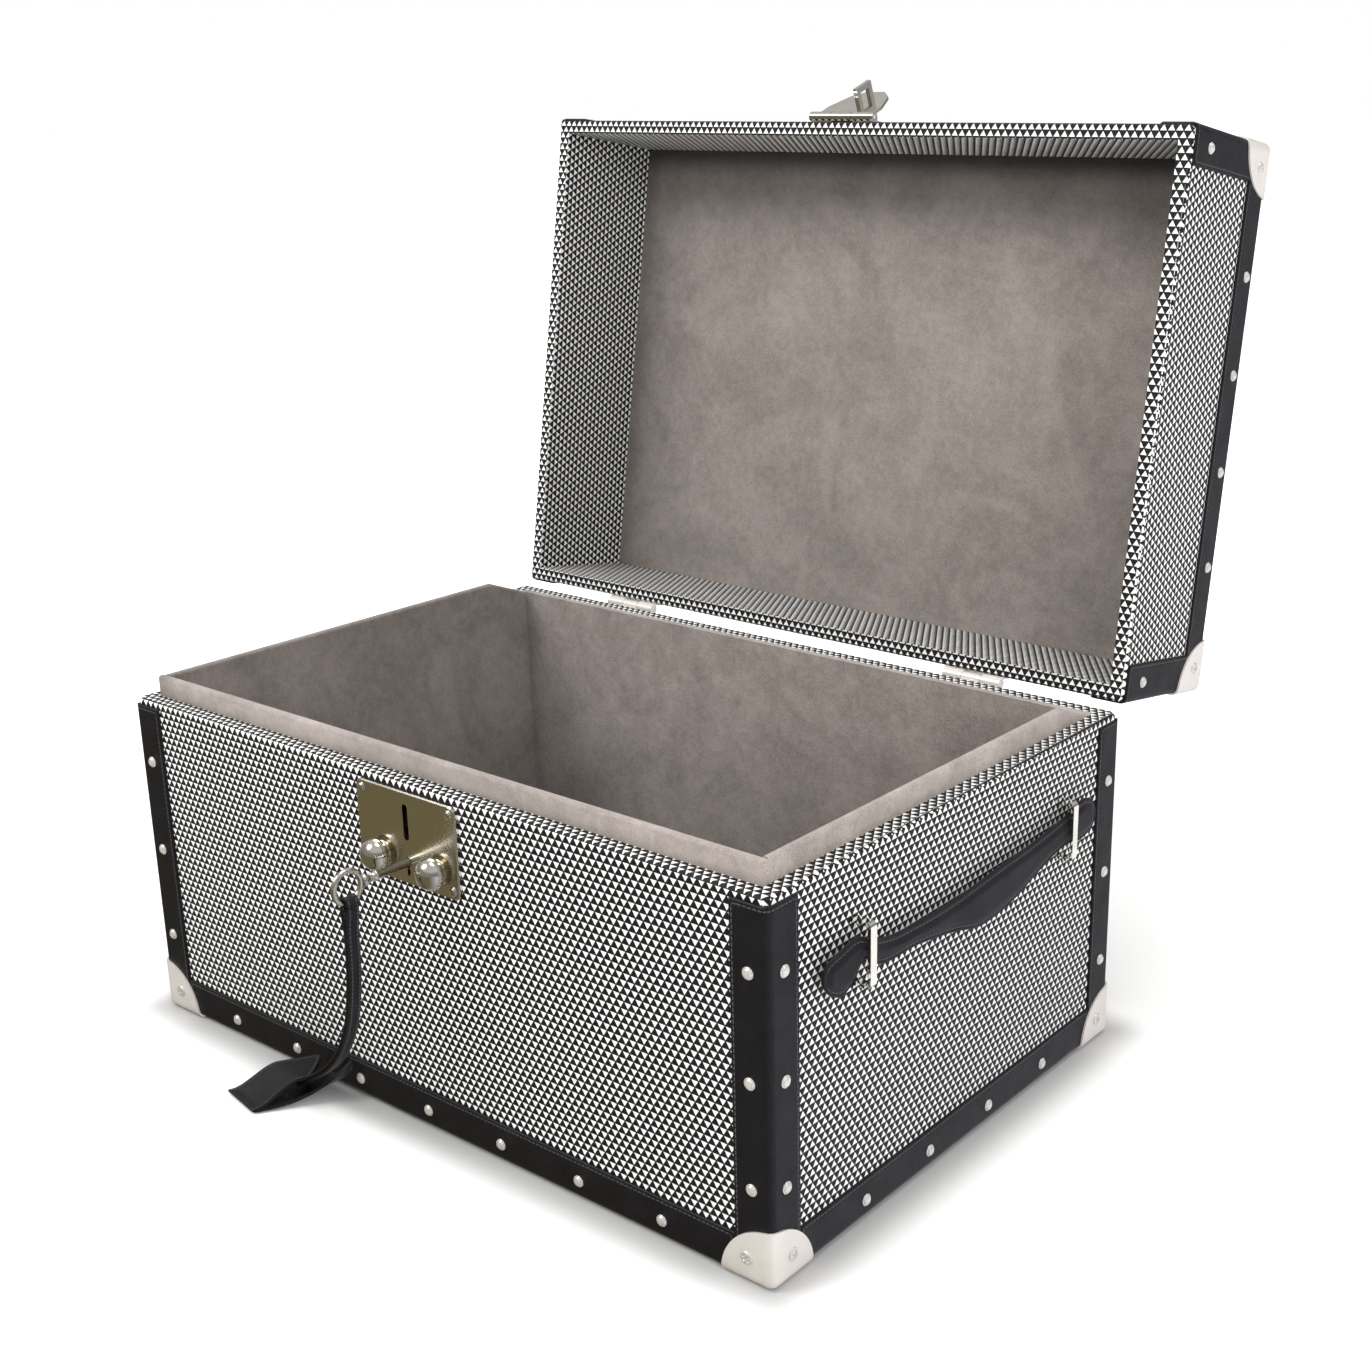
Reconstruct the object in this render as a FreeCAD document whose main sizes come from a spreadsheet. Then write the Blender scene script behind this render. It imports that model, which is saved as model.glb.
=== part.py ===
import FreeCAD, Part
import math
import os
import re
import Sketcher

# Studded trunk: a wooden case and lid in printed canvas, with leather edges, metal corners, a lock and handles.
# Origin: centre of the underside. +X is right from the front, +Y is the back, +Z is up. The lid stands open.

SIZES = {
    "case_width": 497.0, "case_depth": 332.0, "base_height": 208.3, "lid_height": 100.0, "seam_gap": 0.4,
    "wall": 10.0, "lid_wall": 9.0, "canvas_thick": 1.0, "edge_bevel": 3.0, "rim_bevel": 1.4,
    "lining_thick": 5.0, "lip_height": 13.0, "lip_run": 33.0, "lip_round": 2.0, "ceiling_thick": 4.0,
    "seat_clear": 0.2, "cut_overrun": 5.0,
    "trim_thick": 1.5, "trim_bevel": 3.2, "trim_width": 24.0, "panel_gap": 0.3, "trim_drop": 4.0,
    "lid_trim_drop": 2.0,
    "cap_thick": 1.2, "cap_bevel": 3.9, "cap_radius": 33.7, "cap_screw_side": 16.5, "cap_screw_rise": 15.0,
    "stud_radius": 3.4, "stud_height": 2.0, "stud_pitch": 59.2, "stud_margin": 12.2, "stud_edge": 11.0,
    "stud_rise": 54.0, "stud_end": 60.0, "stud_step": 58.5, "lid_stud_rise": 20.8,
    "screw_radius": 3.6, "screw_height": 1.3,
    "lid_open": 99.3, "hinge_offset": 4.2, "hinge_width": 42.0, "hinge_inset": 104.0, "leaf_length": 24.0,
    "leaf_thick": 1.6, "knuckle_radius": 3.2, "knuckle_width": 13.6, "hinge_play": 0.4, "pin_radius": 1.5,
    "pin_clear": 0.05, "stop_reach": 9.0, "stop_gap": 0.1,
    "hinge_screw_drop": 15.0, "hinge_screw_pitch": 13.0,
    "plate_width": 80.0, "plate_height": 54.0, "plate_drop": 4.5, "plate_thick": 2.2, "plate_round": 5.0,
    "plate_bevel": 0.7, "rivet_inset": 5.0, "rivet_radius": 2.9, "rivet_height": 1.6,
    "slot_width": 4.0, "slot_length": 21.0, "slot_drop": 22.0, "lock_line_drop": 45.0, "key_clear": 0.1,
    "case_box_margin": 9.0, "case_box_height": 48.0, "case_box_depth": 9.6, "case_box_wall": 1.2,
    "case_box_drop": 7.0, "bolt_thick": 2.6, "bolt_throw": 8.0, "bolt_gap": 0.4, "bolt_tail": 3.0,
    "bolt_tail_width": 5.2, "knob_inset": 17.6, "dome_radius": 9.3, "dome_height": 9.2, "stem_radius": 4.5, "stem_clear": 0.1,
    "collar_radius": 7.2, "collar_height": 0.5, "knob_travel": 2.5,
    "knob_gap": 0.2, "keeper_radius": 5.4, "keeper_thick": 1.5, "keeper_gap": 0.3,
    "key_radius": 2.5, "key_reach": 33.0, "bow_radius": 9.0, "bow_wire": 1.7, "key_collar_radius": 3.6,
    "key_collar_thick": 2.4, "bit_width": 2.0, "bit_drop": 8.0, "bit_gap": 0.3, "key_tail": 2.4,
    "strap_width": 8.5, "tag_width": 30.0, "tag_mouth": 60.0, "tag_lean": 20.0, "tag_length": 46.0,
    "tag_thick": 3.6, "tag_open": 19.0, "tag_left": 111.0, "tag_front": 52.0,
    "hasp_width": 50.0, "hasp_rise": 4.2, "hasp_stand": 3.7, "hasp_plate_height": 18.0, "hasp_plate_thick": 1.6,
    "hasp_radius": 3.0, "hasp_knuckle": 16.0, "shield_width": 42.0, "shield_length": 39.0, "shield_thick": 2.0,
    "shield_gap": 0.5, "shield_waist": 14.0, "shield_round": 2.5, "staple_near": 19.5, "staple_far": 32.5,
    "staple_bar": 3.6, "staple_depth": 9.8, "staple_width": 3.0, "hasp_open": 150.0, "hasp_pin_radius": 1.3,
    "loop_spread": 98.5, "loop_height": 36.0, "loop_rise": 141.5, "loop_reach": 12.5, "loop_bar": 2.0,
    "loop_width": 5.2, "loop_round": 3.0, "handle_thick": 4.6, "handle_clear": 0.3, "handle_slip": 9.0,
    "handle_reach": 134.0, "handle_end": 8.0, "handle_neck": 15.0, "handle_belly": 28.0, "handle_line": 170.8,
    "handle_sag": 3.0, "tab_width": 19.0, "tab_droop": 5.0, "handle_bevel": 1.1,
}

SIDES = {"left": -1, "right": 1}
ENDS = {"front": -1, "back": 1}
HEAD_SIDES = 8
DOME_SIDES = 16
KEEPER_SIDES = 6
LOBE_SIDES = 24
STRAP_SIDES = 8
STUD_TURNS = {"front": (0, -1, 0), "back": (0, 1, 0), "left": (-1, 0, 0), "right": (1, 0, 0)}

# Route of the key strap's middle line, from the key's ring down to the tag on the ground.
STRAP_ROUTE = [(0, -210, 155), (0, -210, 130), (-2, -210, 106), (-9, -208, 82), (-23, -204, 60),
               (-42, -198, 41), (-66, -192, 23), (-90, -187, 8)]
ROUTE_BEND_SHARE = 0.45
SHIELD_HIP_SHARES = (0.72, 0.8)
SHIELD_TOE_SHARE = 0.34
TAB_CORNER_SHARE = 0.33
DOME_BEVEL_SHARE = 0.5

doc = FreeCAD.newDocument("StuddedTrunk")
sheet = doc.addObject("Spreadsheet::Sheet", "Sizes")
for row, (alias, value) in enumerate(SIZES.items(), 1):
    cell = "A%d" % row
    sheet.set(cell, str(value))
    sheet.setAlias(cell, alias)
doc.recompute()

ALIASES = re.compile(r"\b(" + "|".join(sorted(SIZES, key=len, reverse=True)) + r")\b")
PIECES = []

# Heights and faces that many pieces share, as sums of the sheet's sizes.
FOOT = "(trim_thick + cap_thick)"
RIM = "(trim_thick + cap_thick + base_height)"
HALF_Y = "(case_depth / 2)"
PIVOT_Y = "(case_depth / 2 + hinge_offset)"
PIVOT_Z = "(trim_thick + cap_thick + base_height + seam_gap / 2)"
LID_LOW = "(seam_gap / 2)"
LID_TOP = "(seam_gap / 2 + lid_height)"
LID_FRONT = "(0 - case_depth - hinge_offset)"
LID_BACK = "(0 - hinge_offset)"
PLATE_TOP = "(trim_thick + cap_thick + base_height - plate_drop)"
LOCK_LINE = "(trim_thick + cap_thick + base_height - lock_line_drop)"
KNOB_X = "(plate_width / 2 - knob_inset)"
SLOT_LINE = "(trim_thick + cap_thick + base_height - slot_drop)"
FACE_Y = "(0 - case_depth / 2)"
PLATE_Y = "(0 - case_depth / 2 - plate_thick)"


def size(alias):
    """A size as a plain number."""
    return float(sheet.get(alias))


def formula(text):
    """A sum of sizes, with each name pointing at the sheet."""
    return ALIASES.sub(lambda found: "Sizes." + found.group(0), text)


def bind(item, **sums):
    """Ties properties to sums of sizes; two underscores stand for a dot."""
    for name, text in sums.items():
        item.setExpression(name.replace("__", "."), formula(text))


def place(item, x="0", y="0", z="0"):
    """Ties an object's place to sums of sizes."""
    bind(item, Placement__Base__x=x, Placement__Base__y=y, Placement__Base__z=z)


def open_lid(item):
    """Swings a piece drawn closed about the lid's hinge line to where the open lid holds it."""
    item.Placement = FreeCAD.Placement(FreeCAD.Vector(), FreeCAD.Rotation(FreeCAD.Vector(1, 0, 0), 0))
    place(item, y=PIVOT_Y, z=PIVOT_Z)
    bind(item, Placement__Rotation__Angle="0 - lid_open")


def finish(item, label):
    """Names a finished sub-part; its label names its file."""
    item.Label = label
    PIECES.append(item)
    return item


def box(name, x, y, z):
    """A box between two sums of sizes along each axis."""
    item = doc.addObject("Part::Box", name)
    bind(item, Length="%s - %s" % (x[1], x[0]), Width="%s - %s" % (y[1], y[0]), Height="%s - %s" % (z[1], z[0]))
    place(item, x[0], y[0], z[0])
    return item


def rod(name, radius, start, end, direction, centre):
    """A cylinder along X, Y or Z between two sums of sizes, round a centre in the other two."""
    item = doc.addObject("Part::Cylinder", name)
    axis = FreeCAD.Vector(*[1.0 if direction == letter else 0.0 for letter in "XYZ"])
    item.Placement = FreeCAD.Placement(FreeCAD.Vector(), FreeCAD.Rotation(FreeCAD.Vector(0, 0, 1), axis))
    bind(item, Radius=radius, Height="%s - %s" % (end, start))
    spots = {"X": (start, centre[0], centre[1]), "Y": (centre[0], start, centre[1]), "Z": (*centre, start)}
    place(item, *spots[direction])
    return item


def cut(name, base, *tools):
    """A shape with others taken away."""
    for number, tool in enumerate(tools):
        item = doc.addObject("Part::Cut", "%s_cut%d" % (name, number))
        item.Base = base
        item.Tool = tool
        base = item
    return base


def common(name, base, tool):
    """What two shapes share."""
    item = doc.addObject("Part::Common", name + "_common")
    item.Base = base
    item.Tool = tool
    return item


def fuse(name, *shapes):
    """Shapes joined into one."""
    item = doc.addObject("Part::MultiFuse", name + "_fuse")
    item.Shapes = list(shapes)
    return item


def group(name, *shapes):
    """Separate solids kept as one named group."""
    item = doc.addObject("Part::Compound", name + "_group")
    item.Links = list(shapes)
    return item


def body_plane(body, role):
    """One of a body's own origin planes."""
    return [each for each in body.Origin.OriginFeatures if each.Role == role][0]


def sketch_on(body, name, role, offset="0"):
    """A sketch on one of the body's planes, moved along the plane's normal."""
    sketch = body.newObject("Sketcher::SketchObject", name)
    sketch.AttachmentSupport = (body_plane(body, role), [""])
    sketch.MapMode = "FlatFace"
    bind(sketch, AttachmentOffset__Base__z=offset)
    return sketch


def outline(sketch, points):
    """A closed outline of straight lines, each corner tied to two sums of sizes."""
    count = len(points)
    turn = 2 * math.pi / count
    spots = [FreeCAD.Vector(math.cos(turn * step), math.sin(turn * step), 0) for step in range(count)]
    for step in range(count):
        sketch.addGeometry(Part.LineSegment(spots[step], spots[(step + 1) % count]), False)
    for step in range(count):
        sketch.addConstraint(Sketcher.Constraint("Coincident", step, 2, (step + 1) % count, 1))
    for step, (across, along) in enumerate(points):
        for kind, text, start in (("DistanceX", across, spots[step].x), ("DistanceY", along, spots[step].y)):
            index = sketch.addConstraint(Sketcher.Constraint(kind, -1, 1, step, 1, start))
            sketch.setExpression("Constraints[%d]" % index, formula(text))


def slab(name, role, points, start, end):
    """A body with one outline raised between two distances along its plane's normal."""
    body = doc.addObject("PartDesign::Body", name + "_body")
    sketch = sketch_on(body, name + "_outline", role, start)
    outline(sketch, points)
    pad = body.newObject("PartDesign::Pad", name + "_pad")
    pad.Profile = sketch
    bind(pad, Length="%s - %s" % (end, start))
    doc.recompute()
    return body


def soften(body, name, radius, wanted, kind="Fillet"):
    """Rounds or bevels the edges that a test picks out."""
    last = body.Tip
    names = ["Edge%d" % (number + 1) for number, edge in enumerate(last.Shape.Edges) if wanted(edge)]
    feature = body.newObject("PartDesign::" + kind, name)
    feature.Base = (last, names)
    bind(feature, **{"Radius" if kind == "Fillet" else "Size": radius})
    doc.recompute()
    return body


def runs_along(edge, letter):
    """Whether a straight edge runs along X, Y or Z."""
    ends = edge.Vertexes
    if len(ends) != 2 or edge.Curve.TypeId != "Part::GeomLine":
        return False
    run = (ends[1].Point - ends[0].Point).normalize()
    return abs(getattr(run, letter)) > 1 - Part.Precision.confusion()


def middle(edge):
    """The middle of an edge's box."""
    return edge.BoundBox.Center


def rectangle(x, y):
    """The corners of a rectangle between two sums of sizes each way."""
    return [(x[0], y[0]), (x[1], y[0]), (x[1], y[1]), (x[0], y[1])]


def on_level(level):
    """A test for edges that lie at a height."""
    near = size("canvas_thick") / 2
    return lambda edge: edge.BoundBox.ZMax - edge.BoundBox.ZMin < near and abs(middle(edge).z - level) < near


def levels(body, open_side):
    """The heights of a block's open side and of its closed side."""
    span = body.Tip.Shape.BoundBox
    return (span.ZMax, span.ZMin) if open_side == "top" else (span.ZMin, span.ZMax)


def bevelled_block(name, x, y, z, bevel, open_side, rim_bevel):
    """A block with bevelled edges, and a bevel of its own round its open side."""
    body = slab(name, "XY_Plane", rectangle(x, y), z[0], z[1])
    on_rim = on_level(levels(body, open_side)[0])
    soften(body, name + "_bevel", bevel, lambda edge: not on_rim(edge), "Chamfer")
    return soften(body, name + "_rim", rim_bevel, on_rim, "Chamfer")


def closed_block(name, x, y, z, bevel, open_side):
    """A block bevelled along its upright edges and round its closed side."""
    body = slab(name, "XY_Plane", rectangle(x, y), z[0], z[1])
    on_rim = on_level(levels(body, open_side)[0])
    return soften(body, name + "_bevel", bevel, lambda edge: not on_rim(edge), "Chamfer")


def around(grow):
    """The case's width and depth, grown on every side."""
    return ("(0 - case_width / 2 - %s)" % grow, "(case_width / 2 + %s)" % grow)


def base_depth(grow):
    """The base's front and back faces, grown outward."""
    return ("(0 - case_depth / 2 - %s)" % grow, "(case_depth / 2 + %s)" % grow)


def lid_depth(grow):
    """The closed lid's front and back faces about the hinge line, grown outward."""
    return ("(%s - %s)" % (LID_FRONT, grow), "(%s + %s)" % (LID_BACK, grow))


# The blocks that the shells are cut from: canvas, the wood inside it, the leather and the caps' outer faces.
canvas_block = bevelled_block("canvas_block", around("0"), base_depth("0"), (FOOT, RIM), "edge_bevel", "top",
                              "rim_bevel")
core_block = bevelled_block("core_block", around("(0 - canvas_thick)"), base_depth("(0 - canvas_thick)"),
                            ("(%s + canvas_thick)" % FOOT, "(%s - canvas_thick)" % RIM), "edge_bevel", "top",
                            "rim_bevel")
leather_block = closed_block("leather_block", around("trim_thick"), base_depth("trim_thick"),
                             ("cap_thick", "(%s - trim_drop)" % RIM), "trim_bevel", "top")
cap_block = closed_block("cap_block", around("(trim_thick + cap_thick)"),
                         base_depth("(trim_thick + cap_thick)"), ("0", RIM), "cap_bevel", "top")
cavity = box("cavity", around("(0 - wall)"), base_depth("(0 - wall)"),
             ("(%s + wall)" % FOOT, "(%s + cut_overrun)" % RIM))

# The lock's pocket through canvas and front board.
CASE_TOP = "(%s - case_box_drop)" % RIM
CASE_BOTTOM = "(%s - case_box_drop - case_box_height)" % RIM
CASE_HALF = "(plate_width / 2 - case_box_margin)"
CASE_X = ("(0 - %s)" % CASE_HALF, CASE_HALF)
pocket = box("pocket", ("(0 - %s - seat_clear)" % CASE_HALF, "(%s + seat_clear)" % CASE_HALF),
             ("(%s - cut_overrun)" % FACE_Y, "(%s + wall + cut_overrun)" % FACE_Y),
             ("(%s - seat_clear)" % CASE_BOTTOM, "(%s + seat_clear)" % CASE_TOP))

base_canvas = cut("base_canvas", canvas_block, core_block, cavity, pocket)
finish(base_canvas, "base_canvas")

BOARD_Y = {"front": ("(0 - case_depth / 2)", "(0 - case_depth / 2 + wall)"),
           "back": ("(case_depth / 2 - wall)", "(case_depth / 2)")}
BOARD_X = {"left": ("(0 - case_width / 2)", "(0 - case_width / 2 + wall)"),
           "right": ("(case_width / 2 - wall)", "(case_width / 2)")}
BOARD_Z = ("(%s + wall)" % FOOT, RIM)


def base_boards():
    """Five boards under the canvas: the bottom, the front and back full width, the sides between them."""
    floor = box("bottom_span", around("0"), base_depth("0"), (FOOT, "(%s + wall)" % FOOT))
    finish(common("base_bottom_board", core_block, floor), "base_bottom_board")
    for end, y in BOARD_Y.items():
        span = box(end + "_span", around("0"), y, BOARD_Z)
        board = common("base_%s_board" % end, core_block, span)
        if end == "front":
            board = cut("base_front_board", board, pocket)
        finish(board, "base_%s_board" % end)
    for side, x in BOARD_X.items():
        span = box(side + "_span", x, base_depth("(0 - wall)"), BOARD_Z)
        finish(common("base_%s_board" % side, core_block, span), "base_%s_board" % side)


base_boards()

INNER_X = around("(0 - wall)")
INNER_Y = base_depth("(0 - wall)")
PANEL_Y = base_depth("(0 - wall - lining_thick)")
FLOOR_TOP = "(%s + wall + lining_thick)" % FOOT
LIP_TOP = "(%s + lip_height)" % RIM


def linings():
    """Suede-covered panels: the floor, and walls that stand above the rim as a lip but for the back one."""
    floor = box("lining_floor_box", INNER_X, INNER_Y, ("(%s + wall)" % FOOT, FLOOR_TOP))
    finish(floor, "lining_floor")
    front = slab("lining_front", "XY_Plane", rectangle(INNER_X, (INNER_Y[0], PANEL_Y[0])), FLOOR_TOP, LIP_TOP)
    top = front.Tip.Shape.BoundBox.ZMax
    near = size("canvas_thick") / 2
    soften(front, "lining_front_round", "lip_round",
           lambda edge: runs_along(edge, "x") and abs(middle(edge).z - top) < near)
    finish(front, "lining_front")
    back = box("lining_back_box", INNER_X, (PANEL_Y[1], INNER_Y[1]), (FLOOR_TOP, RIM))
    finish(back, "lining_back")
    slope_start = "(%s - lip_run)" % PANEL_Y[1]
    profile = [(PANEL_Y[0], FLOOR_TOP), (PANEL_Y[1], FLOOR_TOP), (PANEL_Y[1], RIM), (slope_start, LIP_TOP),
               (PANEL_Y[0], LIP_TOP)]
    spans = {"left": (INNER_X[0], "(%s + lining_thick)" % INNER_X[0]),
             "right": ("(%s - lining_thick)" % INNER_X[1], INNER_X[1])}
    for side, x in spans.items():
        panel = slab("lining_" + side, "YZ_Plane", profile, x[0], x[1])
        rim_level = panel.Tip.Shape.BoundBox.ZMax - size("lip_height")
        soften(panel, "lining_%s_round" % side, "lip_round",
               lambda edge: not runs_along(edge, "x") and middle(edge).z > rim_level)
        finish(panel, "lining_" + side)


linings()


def leather_edge(name, block, hollow, x, y, z):
    """A strip of leather folded over an edge of the case."""
    return cut(name, common(name, block, box(name + "_span", x, y, z)), hollow)


def reach(low, high, side, width):
    """The stretch of a given width at the low or the high end."""
    return (low, "(%s + %s)" % (low, width)) if side < 0 else ("(%s - %s)" % (high, width), high)


LEATHER_X = around("trim_thick")
LEATHER_Y = base_depth("trim_thick")
CAP_X = around("(trim_thick + cap_thick)")
CAP_Y = base_depth("(trim_thick + cap_thick)")
BASE_LEATHER_Z = ("cap_thick", "(%s - trim_drop)" % RIM)


def base_trims():
    """Four corner strips and, between them, four strips round the bottom edges."""
    between_x = ("(%s + trim_width)" % LEATHER_X[0], "(%s - trim_width)" % LEATHER_X[1])
    between_y = ("(%s + trim_width)" % LEATHER_Y[0], "(%s - trim_width)" % LEATHER_Y[1])
    low = ("cap_thick", "(cap_thick + trim_width)")
    for end, along in ENDS.items():
        y = reach(*LEATHER_Y, along, "trim_width")
        for side, across in SIDES.items():
            name = "base_corner_trim_%s_%s" % (end, side)
            x = reach(*LEATHER_X, across, "trim_width")
            finish(leather_edge(name, leather_block, canvas_block, x, y, BASE_LEATHER_Z), name)
        name = "base_edge_trim_" + end
        finish(leather_edge(name, leather_block, canvas_block, between_x, y, low), name)
    for side, across in SIDES.items():
        name = "base_edge_trim_" + side
        x = reach(*LEATHER_X, across, "trim_width")
        finish(leather_edge(name, leather_block, canvas_block, x, between_y, low), name)


base_trims()
panel_x = ("(%s + trim_width + panel_gap)" % LEATHER_X[0], "(%s - trim_width - panel_gap)" % LEATHER_X[1])
panel_y = ("(%s + trim_width + panel_gap)" % LEATHER_Y[0], "(%s - trim_width - panel_gap)" % LEATHER_Y[1])
finish(box("base_bottom_panel", panel_x, panel_y, ("0", FOOT)), "base_bottom_panel")


def prism(name, sides, radius, height, facing, x, y, z):
    """A many-sided bar that starts at a place and runs the way it faces."""
    item = doc.addObject("Part::Prism", name)
    item.Polygon = sides
    bind(item, Circumradius=radius, Height=height)
    turn = FreeCAD.Rotation(FreeCAD.Vector(0, 0, 1), FreeCAD.Vector(*facing))
    item.Placement = FreeCAD.Placement(FreeCAD.Vector(), turn)
    place(item, x, y, z)
    return item


def corner_cap(name, outer, hollow, x, y, z):
    """A pressed metal corner with a round lobe on each face, less the leather inside."""
    starts = {"x": ((1, 0, 0), ("(%s - cap_radius)" % x, y, z)),
              "y": ((0, 1, 0), (x, "(%s - cap_radius)" % y, z)),
              "z": ((0, 0, 1), (x, y, "(%s - cap_radius)" % z))}
    solid = outer
    for letter, (facing, start) in starts.items():
        lobe = prism("%s_lobe_%s" % (name, letter), LOBE_SIDES, "cap_radius", "cap_radius * 2", facing, *start)
        solid = common("%s_%s" % (name, letter), solid, lobe)
    return cut(name, solid, hollow)


def corner_caps(prefix, outer, hollow, y, z):
    """The four caps of one case."""
    return [corner_cap("%s_cap_%s_%s" % (prefix, end, side), outer, hollow, CAP_X[0] if across < 0 else CAP_X[1],
                       y[0] if along < 0 else y[1], z)
            for end, along in ENDS.items() for side, across in SIDES.items()]


finish(group("base_caps", *corner_caps("base", cap_block, leather_block, CAP_Y, "0")), "base_caps")


HEADS = {"stud": ("stud_radius", "stud_height"), "screw": ("screw_radius", "screw_height"),
         "rivet": ("rivet_radius", "rivet_height")}


def head(kind, name, facing, x, y, z):
    """The flat-topped head of a stud, screw or rivet, standing on the face that it looks away from."""
    return prism(name, HEAD_SIDES, *HEADS[kind], facing, x, y, z)


def shifted(step, count, pitch):
    """The place of one of a row of things, spread evenly about the middle."""
    return "(%s * (%d - %d) / 2)" % (pitch, 2 * step, count - 1)


FRONT_STUDS = int((size("case_width") - 2 * size("stud_end")) / size("stud_pitch")) + 1
SIDE_STUDS = int((size("case_depth") - 2 * size("stud_end")) / size("stud_pitch")) + 1
CORNER_STUDS = int((size("base_height") - size("stud_rise")) / size("stud_step")) + 1


def studs(prefix, y, edge_z, corner_rises):
    """The studs of one case: rows along its edge strips and columns on its corner strips."""
    rows = []
    faces = {"front": y[0], "back": y[1]}
    centre_y = "((%s + %s) / 2)" % y
    for end, face in faces.items():
        for step in range(FRONT_STUDS):
            name = "%s_stud_%s_%d" % (prefix, end, step)
            rows.append(head("stud", name, STUD_TURNS[end], shifted(step, FRONT_STUDS, "stud_pitch"), face, edge_z))
    for side, across in SIDES.items():
        face = LEATHER_X[0] if across < 0 else LEATHER_X[1]
        for step in range(SIDE_STUDS):
            name = "%s_stud_%s_%d" % (prefix, side, step)
            along = "%s + %s" % (centre_y, shifted(step, SIDE_STUDS, "stud_pitch"))
            rows.append(head("stud", name, STUD_TURNS[side], face, along, edge_z))
        for end, face_y in faces.items():
            in_x = "(%s - stud_margin * %d)" % (face, across)
            in_y = "(%s - stud_margin * %d)" % (face_y, ENDS[end])
            for step, rise in enumerate(corner_rises):
                name = "%s_stud_%s_%s_%d" % (prefix, end, side, step)
                rows.append(head("stud", name + "_a", STUD_TURNS[end], in_x, face_y, rise))
                rows.append(head("stud", name + "_b", STUD_TURNS[side], face, in_y, rise))
    return rows


def cap_screws(prefix, y, z_sum):
    """One round-headed screw on each upright face of each cap."""
    heads = []
    for end, along in ENDS.items():
        face_y = y[0] if along < 0 else y[1]
        for side, across in SIDES.items():
            face_x = CAP_X[0] if across < 0 else CAP_X[1]
            name = "%s_screw_%s_%s" % (prefix, end, side)
            in_x = "(%s - cap_screw_side * %d)" % (face_x, across)
            in_y = "(%s - cap_screw_side * %d)" % (face_y, along)
            heads.append(head("screw", name + "_a", STUD_TURNS[end], in_x, face_y, z_sum))
            heads.append(head("screw", name + "_b", STUD_TURNS[side], face_x, in_y, z_sum))
    return heads


def hinge_screws(prefix, face, direction):
    """Three screws in a row across each hinge leaf."""
    heads = []
    for side, across in SIDES.items():
        centre = "(%d * (case_width / 2 - hinge_inset))" % across
        for step in (-1, 0, 1):
            name = "%s_hinge_screw_%s_%d" % (prefix, side, step + 1)
            x = "(%s + hinge_screw_pitch * %d)" % (centre, step)
            height = "(hinge_screw_drop * %d)" % direction
            if prefix == "base":
                height = "(%s + %s)" % (PIVOT_Z, height)
            heads.append(head("rivet", name, STUD_TURNS["back"], x, face, height))
    return heads


RISES = ["(stud_rise + stud_step * %d)" % step for step in range(CORNER_STUDS)]
finish(group("base_studs", *studs("base", LEATHER_Y, "(cap_thick + stud_edge)", RISES)), "base_studs")
base_heads = cap_screws("base", CAP_Y, "cap_screw_rise")
base_heads += hinge_screws("base", "(%s + leaf_thick)" % HALF_Y, -1)
finish(group("base_screws", *base_heads), "base_screws")


def plate_with_holes():
    """The lock's face plate: bevelled, with the hasp's slot, the keyhole and a collar for each knob."""
    low = "(%s - plate_height)" % PLATE_TOP
    x = ("(0 - plate_width / 2)", "(plate_width / 2)")
    body = slab("lock_plate", "XZ_Plane", rectangle(x, (low, PLATE_TOP)), "(case_depth / 2)",
                "(case_depth / 2 + plate_thick)")
    soften(body, "lock_plate_corners", "plate_round", lambda edge: runs_along(edge, "y"))
    front = body.Tip.Shape.BoundBox.YMin
    near = size("plate_bevel") / 2
    soften(body, "lock_plate_bevel", "plate_bevel", lambda edge: abs(edge.BoundBox.YMax - front) < near,
           "Chamfer")
    through = ("(%s - cut_overrun)" % PLATE_Y, "(%s + cut_overrun)" % FACE_Y)
    half_slot = "(slot_length / 2 - slot_width / 2)"
    slot = box("slot_middle", ("(0 - slot_width / 2)", "(slot_width / 2)"), through,
               ("(%s - %s)" % (SLOT_LINE, half_slot), "(%s + %s)" % (SLOT_LINE, half_slot)))
    slot_ends = [rod("slot_end_%d" % (step + 1), "slot_width / 2", *through, "Y",
                     ("0", "(%s + %s * %d)" % (SLOT_LINE, half_slot, step))) for step in (-1, 1)]
    key_round = rod("keyhole_round", "key_radius + key_clear", *through, "Y", ("0", LOCK_LINE))
    key_drop = box("keyhole_drop", ("(0 - bit_width / 2 - bit_gap)", "(bit_width / 2 + bit_gap)"), through,
                   ("(%s - bit_drop - bit_gap)" % LOCK_LINE, LOCK_LINE))
    collars = []
    bores = []
    for side, across in SIDES.items():
        spot = ("(%s * %d)" % (KNOB_X, across), LOCK_LINE)
        collars.append(rod("collar_" + side, "collar_radius", "(%s - collar_height)" % PLATE_Y, PLATE_Y, "Y",
                           spot))
        bores.append(rod("bore_" + side, "stem_radius + stem_clear", *through, "Y", spot))
    solid = fuse("lock_plate", body, *collars)
    return cut("lock_plate", solid, slot, *slot_ends, key_round, key_drop, *bores)


finish(plate_with_holes(), "lock_plate")
RIVET_TOP = "(%s - rivet_inset)" % PLATE_TOP
RIVET_LOW = "(%s - plate_height + rivet_inset)" % PLATE_TOP
rivets = [head("rivet", "lock_rivet_%s_%d" % (side, level), STUD_TURNS["front"],
               "((plate_width / 2 - rivet_inset) * %d)" % across, PLATE_Y, height)
          for side, across in SIDES.items() for level, height in enumerate((RIVET_LOW, RIVET_TOP))]
finish(group("lock_rivets", *rivets), "lock_rivets")

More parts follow.
